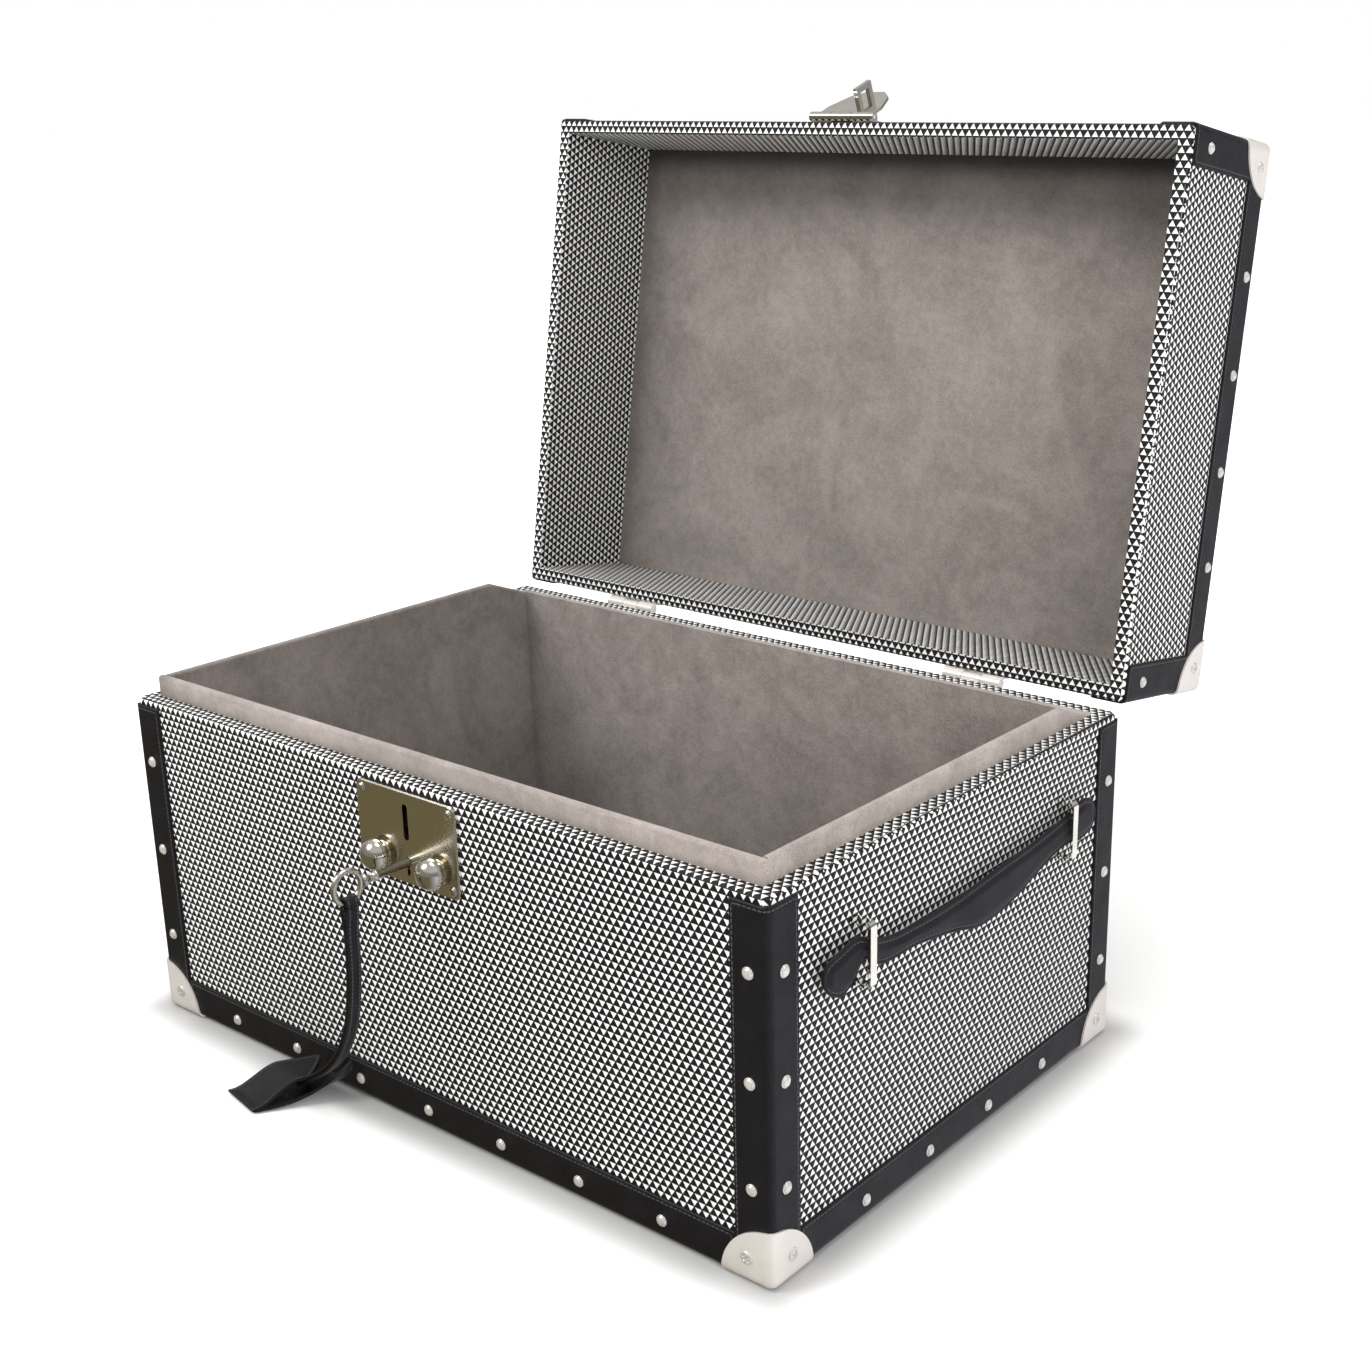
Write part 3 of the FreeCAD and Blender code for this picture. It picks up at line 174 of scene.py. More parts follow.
# The print's row and triangle steps in metres, and the weave's threads in radians to a metre
CHECK_ROW = 0.00405
CHECK_STEP = 0.0051
THREADS = 7000.0


def group_triangle_check():
    """White triangles in rows on a black ground, laid on each face of a case by the way that it looks."""
    tree, given, result = new_group("triangle_check", {"Place": "Vector", "Facing": "Vector"},
                                    {"White": "Float", "Height": "Float"})
    place = split(tree, given["Place"])
    facing = split(tree, given["Facing"])
    size_x, size_y, size_z = (calc(tree, "ABSOLUTE", facing[axis]) for axis in "XYZ")
    on_side = calc(tree, "GREATER_THAN", size_x, calc(tree, "MAXIMUM", size_y, size_z))
    on_flat = calc(tree, "GREATER_THAN", size_z, calc(tree, "MAXIMUM", size_x, size_y))
    across = plus(tree, times(tree, place["Y"], on_side),
                  times(tree, place["X"], minus(tree, 1.0, on_side)))
    up = plus(tree, times(tree, place["Y"], on_flat),
              times(tree, place["Z"], minus(tree, 1.0, on_flat)))
    turned = minus(tree, 1.0, times(tree, on_side, 2.0))
    level = times(tree, times(tree, up, turned), 1.0 / CHECK_ROW)
    row = calc(tree, "FLOOR", level)
    rise = minus(tree, level, row)
    half_step = times(tree, calc(tree, "PINGPONG", row, 1.0), 0.5)
    step = times(tree, across, 1.0 / CHECK_STEP)
    cell = calc(tree, "FRACT", plus(tree, step, half_step))
    from_middle = calc(tree, "ABSOLUTE", minus(tree, cell, 0.5))
    slope = minus(tree, times(tree, rise, 0.5), from_middle)
    top = times(tree, minus(tree, 1.0, rise), 0.6)
    inside = calc(tree, "MINIMUM", slope, top)
    white = ramp(tree, inside, 0.02, 0.075)
    put(result["White"], white)
    thread = calc(tree, "SINE", times(tree, plus(tree, across, up), THREADS))
    other = calc(tree, "SINE", times(tree, minus(tree, across, up), THREADS))
    weave = times(tree, times(tree, thread, other), 0.16)
    put(result["Height"], plus(tree, times(tree, white, 0.8), weave))
    return tree


def group_leather_grain():
    """Pebbled leather: small cells with softened walls over a slow unevenness."""
    tree, given, result = new_group("leather_grain", {"Place": "Vector", "Scale": "Float"},
                                    {"Height": "Float", "Tone": "Float"})
    cells = add(tree, "ShaderNodeTexVoronoi", {"feature": "DISTANCE_TO_EDGE"}, Vector=given["Place"],
                Scale=given["Scale"])
    wall = ramp(tree, cells.outputs["Distance"], 0.0, 0.22)
    slow = noise(tree, given["Place"], 60.0, 4.0)
    pebble = times(tree, wall, 0.6)
    put(result["Height"], plus(tree, pebble, times(tree, slow, 0.5)))
    worn = plus(tree, 0.75, times(tree, wall, 0.25))
    put(result["Tone"], times(tree, slow, worn))
    return tree


def group_stitch_row():
    """Thread dashes sunk in a shallow furrow, a set way in from a piece's edge."""
    tree, given, result = new_group("stitch_row", {"Across": "Float", "Along": "Float", "Inset": "Float",
                                                   "Pitch": "Float"}, {"Thread": "Float", "Height": "Float"})
    off_line = calc(tree, "ABSOLUTE", minus(tree, given["Across"], given["Inset"]))
    beat = calc(tree, "FRACT", calc(tree, "DIVIDE", given["Along"], given["Pitch"]))
    from_middle = calc(tree, "ABSOLUTE", minus(tree, beat, 0.5))
    dash = times(tree, ramp(tree, from_middle, 0.30, 0.40, 1.0, 0.0),
                 ramp(tree, off_line, 0.00025, 0.00042, 1.0, 0.0))
    furrow = ramp(tree, off_line, 0.0002, 0.0011, 1.0, 0.0)
    put(result["Thread"], dash)
    put(result["Height"], minus(tree, times(tree, dash, 0.9), furrow))
    return tree


def group_mottle():
    """Brushed nap: clouded patches, smudges between them, and short hairs that lie both ways."""
    tree, given, result = new_group("mottle", {"Place": "Vector"}, {"Tone": "Float", "Height": "Float"})
    patches = ramp(tree, noise(tree, given["Place"], 11.0, 3.0, 0.6, 1.6), 0.34, 0.66)
    flecks = ramp(tree, noise(tree, given["Place"], 170.0, 4.0, 0.7), 0.3, 0.72)
    hairs = noise(tree, given["Place"], 1500.0, 2.0, 0.7)
    smudges = ramp(tree, noise(tree, given["Place"], 38.0, 3.0, 0.6, 0.8), 0.34, 0.66)
    tone = plus(tree, times(tree, patches, 0.24), times(tree, smudges, 0.14))
    tone = plus(tree, tone, times(tree, flecks, 0.22))
    put(result["Tone"], plus(tree, tone, times(tree, ramp(tree, hairs, 0.32, 0.68), 0.4)))
    put(result["Height"], plus(tree, times(tree, flecks, 0.5), hairs))
    return tree


def group_rubbed():
    """Handled metal: fine hairlines, cloudy finger marks and a few pits."""
    tree, given, result = new_group("rubbed", {"Place": "Vector"}, {"Cloud": "Float", "Height": "Float"})
    stretched = add(tree, "ShaderNodeMapping", Vector=given["Place"], Scale=(400.0, 2500.0, 120.0))
    hairlines = noise(tree, stretched.outputs["Vector"], 1.0, 2.0)
    cloud = noise(tree, given["Place"], 90.0, 4.0, 0.6)
    pits = ramp(tree, noise(tree, given["Place"], 700.0, 1.0), 0.68, 0.8)
    put(result["Cloud"], cloud)
    put(result["Height"], minus(tree, times(tree, hairlines, 0.4), pits))
    return tree


TRIANGLE_CHECK = group_triangle_check()
LEATHER_GRAIN = group_leather_grain()
STITCH_ROW = group_stitch_row()
MOTTLE = group_mottle()
RUBBED = group_rubbed()


# Materials

def new_material(name, **plain):
    """A material with its Principled shader and its object coordinates; plain are constant shader values."""
    material = bpy.data.materials.new(name)
    material.use_nodes = True
    tree = material.node_tree
    shader = tree.nodes["Principled BSDF"]
    for socket, value in plain.items():
        shader.inputs[socket.replace("_", " ")].default_value = value
    return material, tree, shader, tree.nodes.new("ShaderNodeTexCoord").outputs


def roughen(tree, shader, base, mark, spread):
    """Roughness: base plus spread times a mark between 0 and 1."""
    put(shader.inputs["Roughness"], plus(tree, base, times(tree, mark, spread)))


def raise_surface(tree, shader, height, distance, strength):
    """Feeds a height through a Bump node to the shader."""
    bump = add(tree, "ShaderNodeBump", Height=height, Distance=distance, Strength=strength)
    put(shader.inputs["Normal"], bump.outputs["Normal"])


def make_canvas(name, lid=False):
    """Coated canvas with the triangle print. On the lid the print is turned with it about the hinge line."""
    material, tree, shader, own = new_material(name, Specular_IOR_Level=0.2)
    place, facing = own["Object"], own["Normal"]
    if lid:
        turn = (LID_TURN, 0.0, 0.0)
        y, z = HINGE_LINE[1] * MM, HINGE_LINE[2] * MM
        shift = (0.0, -(y * math.cos(LID_TURN) - z * math.sin(LID_TURN)),
                 -(y * math.sin(LID_TURN) + z * math.cos(LID_TURN)))
        place = add(tree, "ShaderNodeMapping", Vector=place, Location=shift, Rotation=turn).outputs[0]
        facing = add(tree, "ShaderNodeMapping", {"vector_type": "VECTOR"}, Vector=facing,
                     Rotation=turn).outputs[0]
    check = use(tree, TRIANGLE_CHECK, Place=place, Facing=facing)
    dirt = noise(tree, place, 35.0, 4.0)
    white = blend_colour(tree, dirt, (0.88, 0.875, 0.85), (0.74, 0.735, 0.72))
    black = blend_colour(tree, dirt, (0.005, 0.005, 0.006), (0.013, 0.013, 0.015))
    put(shader.inputs["Base Color"], blend_colour(tree, check["White"], black, white))
    roughen(tree, shader, 0.42, dirt, 0.2)
    raise_surface(tree, shader, check["Height"], 0.00025, 0.7)
    return material


def make_leather(name, inset=0.0022, pitch=0.0031, grain=900.0):
    """Black leather with a faint violet sheen, worn paler on high spots, and its rows of stitches."""
    material, tree, shader, own = new_material(name, Specular_IOR_Level=0.3)
    pores = use(tree, LEATHER_GRAIN, Place=own["Object"], Scale=grain)
    hide = blend_colour(tree, pores["Tone"], (0.003, 0.003, 0.004), (0.011, 0.010, 0.014))
    across, along = (add(tree, "ShaderNodeAttribute", {"attribute_name": way}).outputs["Fac"]
                     for way in ("across", "along"))
    row = use(tree, STITCH_ROW, Across=across, Along=along, Inset=inset, Pitch=pitch)
    put(shader.inputs["Base Color"], blend_colour(tree, row["Thread"], hide, (0.075, 0.070, 0.078)))
    roughen(tree, shader, 0.56, pores["Tone"], -0.25)
    height = plus(tree, times(tree, pores["Height"], 0.35), row["Height"])
    raise_surface(tree, shader, height, 0.0004, 0.8)
    return material


def make_suede(name, dark, light, painted_shades):
    """Brushed suede: patches of nap that lie lighter and darker, with painted shade over them. Each painted
    shade is an axis, the place along it where the painted shade is darkest, the place where the suede has its
    full tone again, and how dark it gets."""
    material, tree, shader, own = new_material(name, Specular_IOR_Level=0.2, Sheen_Weight=0.25,
                                               Sheen_Roughness=0.6)
    nap = use(tree, MOTTLE, Place=own["Object"])
    parts = split(tree, own["Object"])
    # Painted shade: the suede's colour is darkened towards black along the given axes, where shade falls in
    # the case
    shade = 1.0
    for axis, darkest, full, share in painted_shades:
        shade = times(tree, shade, ramp(tree, parts[axis], darkest, full, share, 1.0))
    colour = blend_colour(tree, nap["Tone"], dark, light)
    put(shader.inputs["Base Color"], blend_colour(tree, shade, (0.0, 0.0, 0.0), colour))
    roughen(tree, shader, 0.98, nap["Tone"], -0.12)
    raise_surface(tree, shader, nap["Height"], 0.0004, 0.6)
    return material


def make_metal(name, dull, bright, roughness, spread, metallic=1.0):
    """Plated metal, cloudier where it was handled; a satin plating scatters light, so it is less metallic."""
    material, tree, shader, own = new_material(name, Metallic=metallic)
    marks = use(tree, RUBBED, Place=own["Object"])
    put(shader.inputs["Base Color"], blend_colour(tree, marks["Cloud"], bright, dull))
    roughen(tree, shader, roughness, marks["Cloud"], spread)
    raise_surface(tree, shader, marks["Height"], 0.00003, 0.5)
    return material


def make_plate_metal():
    """The lock plate: a mellow, olive-toned polished face inside pale bevelled edges."""
    material, tree, shader, own = new_material("plate_nickel", Metallic=1.0)
    marks = use(tree, RUBBED, Place=own["Object"])
    facing = split(tree, own["Normal"])["Y"]
    flat = ramp(tree, calc(tree, "ABSOLUTE", facing), 0.9, 0.98)
    face = blend_colour(tree, marks["Cloud"], (0.74, 0.70, 0.58), (0.64, 0.60, 0.50))
    put(shader.inputs["Base Color"], blend_colour(tree, flat, (0.66, 0.63, 0.57), face))
    roughen(tree, shader, 0.12, marks["Cloud"], 0.14)
    raise_surface(tree, shader, marks["Height"], 0.00002, 0.4)
    return material


def make_loop_metal():
    """The handles' loops: pale satin on their broad outer faces and polished on their arms."""
    material, tree, shader, own = new_material("loop_nickel")
    marks = use(tree, RUBBED, Place=own["Object"])
    outward = split(tree, own["Normal"])["X"]
    broad = ramp(tree, calc(tree, "ABSOLUTE", outward), 0.9, 0.98)
    put(shader.inputs["Metallic"], ramp(tree, broad, 0.0, 1.0, 1.0, 0.3))
    colour = blend_colour(tree, marks["Cloud"], (0.82, 0.79, 0.75), (0.66, 0.64, 0.60))
    put(shader.inputs["Base Color"], colour)
    put(shader.inputs["Roughness"], ramp(tree, broad, 0.0, 1.0, 0.06, 0.3))
    raise_surface(tree, shader, marks["Height"], 0.00003, 0.5)
    return material


def make_wood(name, dark, light):
    """Sawn board: long grain lines along the width of the case."""
    material, tree, shader, own = new_material(name, Specular_IOR_Level=0.3)
    stretched = add(tree, "ShaderNodeMapping", Vector=own["Object"], Scale=(6.0, 90.0, 90.0))
    grain = noise(tree, stretched.outputs["Vector"], 2.0, 6.0, 0.65)
    put(shader.inputs["Base Color"], blend_colour(tree, grain, dark, light))
    roughen(tree, shader, 0.6, grain, 0.25)
    raise_surface(tree, shader, grain, 0.0003, 0.5)
    return material


def make_floor():
    """Matt white paper sweep with the faintest unevenness. Away from the trunk it is brighter, as if lit by
    itself, and within 3 cm of the trunk's foot, taken as a rectangle, it falls into a contact shadow."""
    material, tree, shader, own = new_material("white_sweep", Roughness=0.9, Specular_IOR_Level=0.1)
    tone = noise(tree, own["Object"], 0.7, 2.0)
    paper = blend_colour(tree, tone, (0.93, 0.93, 0.93), (0.91, 0.91, 0.91))
    parts = split(tree, own["Object"])
    beyond = [calc(tree, "MAXIMUM", minus(tree, calc(tree, "ABSOLUTE", parts[axis]), reach), 0.0)
              for axis, reach in (("X", SIDE_X * MM), ("Y", FACE_Y * MM))]
    squares = [times(tree, way, way) for way in beyond]
    foot = calc(tree, "SQRT", plus(tree, *squares))
    shadow = ramp(tree, foot, 0.0, 0.03, 0.5, 1.0)
    put(shader.inputs["Base Color"], blend_colour(tree, shadow, (0.0, 0.0, 0.0), paper))
    shader.inputs["Emission Color"].default_value = (1.0, 1.0, 1.0, 1.0)
    away = add(tree, "ShaderNodeVectorMath", {"operation": "LENGTH"}, Vector=own["Object"]).outputs["Value"]
    put(shader.inputs["Emission Strength"], ramp(tree, away, 0.5, 1.1, 0.0, 0.7))
    return material


CANVAS = make_canvas("check_canvas")
LID_CANVAS = make_canvas("check_canvas_on_lid", lid=True)
STRIP_LEATHER = make_leather("strip_leather")
HANDLE_LEATHER = make_leather("handle_leather", inset=0.0026, pitch=0.0030)
STRAP_LEATHER = make_leather("strap_leather", inset=0.0016, pitch=0.0026, grain=1100.0)
# The lining's painted shade: darker deeper down in the case and on its left wall
SUEDE = make_suede("suede_lining", (0.150, 0.127, 0.112), (0.430, 0.376, 0.346),
                   (("Z", 0.02, 0.217, 0.62), ("X", -0.238, -0.215, 0.66)))
# The ceiling's painted shade: a dark band under the lid's top wall, a softer band below it and a darker left
# edge; its colours are also darker than the lining's, as painted shade on the same suede
CEILING_SUEDE = make_suede("suede_ceiling", (0.125, 0.107, 0.094), (0.335, 0.292, 0.270),
                           (("Z", 0.519, 0.500, 0.05), ("Z", 0.505, 0.460, 0.55), ("X", -0.238, -0.222, 0.7)))
SATIN_NICKEL = make_metal("satin_nickel", (0.66, 0.62, 0.58), (0.80, 0.76, 0.72), 0.24, 0.16, metallic=0.35)
STUD_NICKEL = make_metal("stud_nickel", (0.66, 0.64, 0.60), (0.88, 0.86, 0.83), 0.12, 0.16, metallic=0.6)
BRIGHT_NICKEL = make_metal("bright_nickel", (0.58, 0.56, 0.51), (0.78, 0.76, 0.71), 0.05, 0.10)
LOOP_NICKEL = make_loop_metal()
PLATE_NICKEL = make_plate_metal()
CASE_STEEL = make_metal("case_steel", (0.35, 0.35, 0.35), (0.52, 0.52, 0.52), 0.35, 0.25)
BOLT_BRASS = make_metal("bolt_brass", (0.60, 0.46, 0.22), (0.80, 0.66, 0.36), 0.2, 0.25)
BOARD = make_wood("sawn_board", (0.36, 0.24, 0.13), (0.66, 0.49, 0.30))
PANEL = make_wood("stained_hardboard", (0.02, 0.018, 0.016), (0.045, 0.041, 0.037))

NODE_FINISHES = {
    CANVAS: ["base_canvas"],
    LID_CANVAS: ["lid_canvas"],
    BOARD: [name for name in nodes if name.endswith("_board")],
    PANEL: ["base_bottom_panel"],
    SUEDE: [name for name in nodes if name.startswith("lining_")],
    CEILING_SUEDE: ["lid_ceiling"],
    PLATE_NICKEL: ["lock_plate"],
    CASE_STEEL: ["lock_case"],
    BOLT_BRASS: ["lock_bolt"],
    SATIN_NICKEL: [name for name in nodes if name.startswith("hinge_")] + ["hasp_pin"],
    LOOP_NICKEL: [name for name in nodes if name.startswith("handle_loop_")],
    BRIGHT_NICKEL: ["hasp_plate", "hasp_leaf"],
}
for finish, names in NODE_FINISHES.items():
    for name in names:
        for place in nodes[name].material_slots:
            place.material = finish


# Shapes

def grid_faces(rows, columns, loop=True, start=0):
    """Quads of a grid of points kept row by row; with loop the last column joins the first.
    A face looks along (step to the next column) x (step to the next row)."""
    row, column = np.meshgrid(np.arange(rows - 1), np.arange(columns if loop else columns - 1), indexing="ij")
    row, column = row.ravel() * columns, column.ravel()
    beside = (column + 1) % columns
    quads = np.stack([row + column, row + beside, row + columns + beside, row + columns + column], 1)
    return (quads + start).tolist()


def end_fans(sides, last, low, high):
    """Triangles that close a grid of rings: its first ring about the point low, and its last about high."""
    first = np.arange(sides)
    second = (first + 1) % sides
    foot = np.stack([np.full(sides, low), second, first], 1)
    top = np.stack([np.full(sides, high), first + last, second + last], 1)
    return foot.tolist() + top.tolist()


def lathe(profile, sides):
    """A profile of (radius, height) points, both ends on the axis, turned about +Z: (r cos a, r sin a, h)."""
    radius, height = np.array(profile, float).T
    turn = np.linspace(0.0, 2 * np.pi, sides, endpoint=False)
    rings = np.stack([np.outer(radius[1:-1], np.cos(turn)), np.outer(radius[1:-1], np.sin(turn)),
                      np.repeat(height[1:-1, None], sides, 1)], -1).reshape(-1, 3)
    points = np.vstack([rings, [[0, 0, height[0]], [0, 0, height[-1]]]])
    count = len(rings)
    return points, grid_faces(len(radius) - 2, sides) + end_fans(sides, count - sides, count, count + 1)


def wire_ring(radius, wire, turns=56, sides=14):
    """A torus about +Z: ((R + w cos b) cos a, (R + w cos b) sin a, w sin b)."""
    a, b = np.meshgrid(np.linspace(0, 2 * np.pi, turns, endpoint=False),
                       np.linspace(0, 2 * np.pi, sides, endpoint=False), indexing="ij")
    reach = radius + wire * np.cos(b)
    points = np.stack([reach * np.cos(a), reach * np.sin(a), wire * np.sin(b)], -1).reshape(-1, 3)
    index = np.arange(turns * sides).reshape(turns, sides)
    beside, after = np.roll(index, -1, 1), np.roll(index, -1, 0)
    quads = np.stack([index, after, np.roll(beside, -1, 0), beside], -1).reshape(-1, 4)
    return points, quads.tolist()


def seat(shape, facing, at, spin=0.0):
    """Turns a shape drawn about +Z to look along facing, spins it about that, and moves its origin to at."""
    points, faces = shape
    z = np.array(facing, float) / np.linalg.norm(facing)
    x = np.cross((0, 0, 1) if abs(z[2]) < 0.9 else (0, 1, 0), z)
    x = x / np.linalg.norm(x)
    y = np.cross(z, x)
    axes = np.array([x * math.cos(spin) + y * math.sin(spin), y * math.cos(spin) - x * math.sin(spin), z])
    return points @ axes + np.array(at, float), faces


def joined(shapes):
    """Several shapes as one."""
    starts = np.cumsum([0] + [len(points) for points, _ in shapes[:-1]])
    faces = [[corner + start for corner in face] for (_, each), start in zip(shapes, starts.tolist())
             for face in each]
    return np.vstack([points for points, _ in shapes]), faces


def swing(points):
    """From the closed lid, measured from the hinge line, to the open lid: a turn by the opening angle."""
    c, s = math.cos(LID_TURN), math.sin(LID_TURN)
    x, y, z = np.array(points, float).T
    return np.stack([x, HINGE_LINE[1] + y * c + z * s, HINGE_LINE[2] - y * s + z * c], -1)


def swing_facing(facing):
    """A direction turned with the lid."""
    return (swing([facing]) - swing([(0, 0, 0)]))[0]


def piece(name, shape, material, body, stands_for=(), values=None):
    """One finished mesh from a shape in mm, riding on a body. Values are point attributes, such as across."""
    points, faces = shape
    mesh = bpy.data.meshes.new(name)
    mesh.from_pydata((points * MM).tolist(), [], faces)
    mesh.materials.append(material)
    mesh.polygons.foreach_set("use_smooth", np.ones(len(mesh.polygons), bool))
    for key, numbers in (values or {}).items():
        layer = mesh.attributes.new(key, "FLOAT", "POINT")
        layer.data.foreach_set("value", numbers.astype(np.float32).ravel())
    mesh.update()
    made = show(name, mesh)
    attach(made, body)
    if stands_for:
        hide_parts(*stands_for)
    return made


def thicken(made, thickness, edge=0.0):
    """Gives a sheet its thickness inwards, and rounds its cut edges."""
    wall = made.modifiers.new("wall", "SOLIDIFY")
    wall.thickness = thickness * MM
    wall.offset = -1.0
    if edge:
        rounding = made.modifiers.new("rounding", "BEVEL")
        rounding.width = edge * MM
        rounding.segments = 2
        rounding.limit_method = "ANGLE"
        rounding.angle_limit = math.radians(50)
        rounding.harden_normals = True


# The key's strap and tag

STRAP_ROUTE = [(0, -210, 155), (0, -210, 130), (-2, -210, 106), (-9, -208, 82), (-23, -204, 60),
               (-42, -198, 41), (-66, -192, 23), (-90, -187, 8)]
STRAP_WIDTH = 8.5
BOW_RADIUS = 9.0
BOW_Y = -210.0
WRAP_RADIUS = 2.65


def smooth_line(route):
    """The points of a NURBS spline whose control points are the route's, in mm."""
    curve = bpy.data.curves.new("strap_line", "CURVE")
    curve.dimensions = "3D"
    curve.resolution_u = 16
    spline = curve.splines.new("NURBS")
    spline.points.add(len(route) - 1)
    spline.points.foreach_set("co", [value for x, y, z in route for value in (x * MM, y * MM, z * MM, 1.0)])
    spline.order_u = 3
    spline.use_endpoint_u = True
    carrier = show("strap_line", curve)
    bpy.context.view_layer.update()
    line = bpy.data.meshes.new_from_object(carrier)
    points = np.zeros(len(line.vertices) * 3)
    line.vertices.foreach_get("co", points)
    bpy.data.objects.remove(carrier)
    bpy.data.curves.remove(curve)
    bpy.data.meshes.remove(line)
    return points.reshape(-1, 3) / MM


def band(line, wide, out, width, thickness, lift):
    """A flat strip along a line: at each point a rounded rectangle, W/2 cos^0.35 along wide and T/2 sin^0.7
    along out, lifted off the line by lift along out. Both ends are closed."""
    turn = np.linspace(0, 2 * np.pi, 28, endpoint=False)
    c, s = np.cos(turn), np.sin(turn)
    u = np.sign(c) * np.abs(c) ** 0.35 * width / 2
    v = np.sign(s) * np.abs(s) ** 0.7 * thickness / 2
    lift = np.broadcast_to(lift, (len(line),))[:, None, None]
    points = (line[:, None] + wide[:, None] * u[None, :, None] + out[:, None] * (v[None, :, None] + lift))
    steps = np.linalg.norm(np.diff(line, axis=0), axis=1)
    along = np.repeat(np.concatenate([[0], np.cumsum(steps)])[:, None], len(turn), 1)
    across = np.repeat((width / 2 - np.abs(u))[None], len(line), 0)
    count = len(turn)
    faces = grid_faces(len(line), count)
    faces += [list(range(count))[::-1], list(range(count * (len(line) - 1), count * len(line)))]
    return (points.reshape(-1, 3), faces), {"across": across.ravel() * MM, "along": along.ravel() * MM}


def together(parts):
    """Joins shapes that carry attribute values."""
    shape = joined([each for each, _ in parts])
    return shape, {key: np.concatenate([values[key] for _, values in parts]) for key in parts[0][1]}


def strap():
    """Two layers of flat strap face to face along the route. They part near the key's ring, where their
    distance from the route grows by a smooth step."""
    line = smooth_line(STRAP_ROUTE)
    ahead = np.gradient(line, axis=0)
    ahead /= np.linalg.norm(ahead, axis=1)[:, None]
    wide = np.array([0.0, 1.0, 0.0]) - ahead * ahead[:, 1:2]
    wide /= np.linalg.norm(wide, axis=1)[:, None]
    out = np.cross(wide, ahead)
    travelled = np.concatenate([[0], np.cumsum(np.linalg.norm(np.diff(line, axis=0), axis=1))])
    near = 1 - np.clip(travelled / 16.0, 0, 1)
    near = near * near * (3 - 2 * near)
    lift = 1.0 + 1.65 * near
    parts = [band(line, wide, out * side, STRAP_WIDTH - 0.3, 1.9, lift) for side in (1, -1)]
    parts = [((points, [face[::-1] for face in faces] if side < 0 else faces), values)
             for ((points, faces), values), side in zip(parts, (1, -1))]
    shape, values = together(parts)
    made = piece("key_strap_leather", shape, STRAP_LEATHER, "base", ["key_strap"],
                 values=values)
    return made, line


def strap_fold():
    """The strap's turn over the ring's wire: a half circle round the wire on two short legs, raised across
    its width by R - sqrt(R^2 - w^2) to follow the ring."""
    turn = np.linspace(np.pi, 0, 21)
    around = np.stack([np.cos(turn), np.zeros(21), np.sin(turn)], -1)
    arc = around * WRAP_RADIUS + (0.0, BOW_Y, 157.0)
    legs = np.array([[-WRAP_RADIUS, BOW_Y, 155.2], [WRAP_RADIUS, BOW_Y, 155.2]])
    line = np.vstack([legs[:1], arc, legs[1:]])
    outward = np.vstack([[[-1.0, 0, 0]], around, [[1.0, 0, 0]]])
    wide = np.tile([0.0, 1.0, 0.0], (len(line), 1))
    (points, faces), values = band(line, wide, outward, STRAP_WIDTH - 0.3, 1.8, 0.0)
    reach = np.clip(points[:, 1] - BOW_Y, -BOW_RADIUS, BOW_RADIUS)
    points[:, 2] += BOW_RADIUS - np.sqrt(BOW_RADIUS ** 2 - reach ** 2)
    piece("key_strap_fold", (points, faces), STRAP_LEATHER, "base", values=values)


TAG_FOLD = np.array([-110.0, -217.0])
TAG_ACROSS = np.array([0.982, -0.188])
TAG_AHEAD = np.array([0.608, 0.794])
TAG_HALF = 16.0
TAG_UPPER = 44.0
TAG_LOWER = 58.5
TAG_REST_Y = -170.2


def tag():
    """One piece of leather folded at its near end and leaning on the trunk. The lower flap rises by a steep
    power of the way along it, more at its right edge. The upper one lifts off it by a smooth step and ends
    sooner."""
    rows, columns = 81, 33
    run = np.linspace(-1, 1, rows)[:, None]
    side = np.linspace(-1, 1, columns)[None]
    fold = np.clip(run / 0.03, -1, 1)
    t = np.clip((np.abs(run) - 0.03) / 0.97, 0, 1)
    upper_reach = TAG_UPPER - 11.0 * side - 2.0 * np.abs(side) ** 6
    lower_reach = TAG_LOWER + 3.0 * side - 4.0 * np.abs(side) ** 6
    reach = np.where(run > 0, upper_reach, lower_reach)
    forward = reach * t - 1.2 * (1 - fold ** 2) + 1.2
    way = np.clip(forward / (TAG_LOWER + 3.0), 0, 1)
    lower = 1.2 + 27.8 * way ** 2.6 * (0.35 + 0.65 * np.clip(side, 0, 1) ** 2)
    step = np.clip(way / 0.5, 0, 1)
    upper = 2.6 + 14.5 * step * step * (3 - 2 * step) + 3.5 * way + 2.0 * side * way - 1.2 * (1 - side ** 2)
    height = np.where(run < 0, lower, np.maximum(upper, lower + 1.8))
    height = height * np.abs(fold) + 2.0 * (1 - np.abs(fold))
    bend = 1.0 - 0.06 * np.sin(np.pi * t)
    ground = (TAG_FOLD + TAG_ACROSS * (TAG_HALF * side * bend)[..., None] + TAG_AHEAD * forward[..., None])
    ground[..., 1] = np.minimum(ground[..., 1], TAG_REST_Y)
    points = np.concatenate([ground, height[..., None]], -1).reshape(-1, 3)
    edge = TAG_HALF * (1 - np.abs(side))
    end = reach * (1 - t) + 1e-3
    values = {"across": np.minimum(edge, end).ravel() * MM,
              "along": np.where(edge < end, forward * np.sign(run), TAG_HALF * side).ravel() * MM}
    made = piece("key_tag_leather", (points, grid_faces(rows, columns, loop=False)), STRAP_LEATHER, "base",
                 ["key_tag"], values=values)
    thicken(made, 1.7, 0.35)
    return made


strap_leather, strap_path = strap()
strap_fold()
tag_leather = tag()


# Studs, screws and rivets

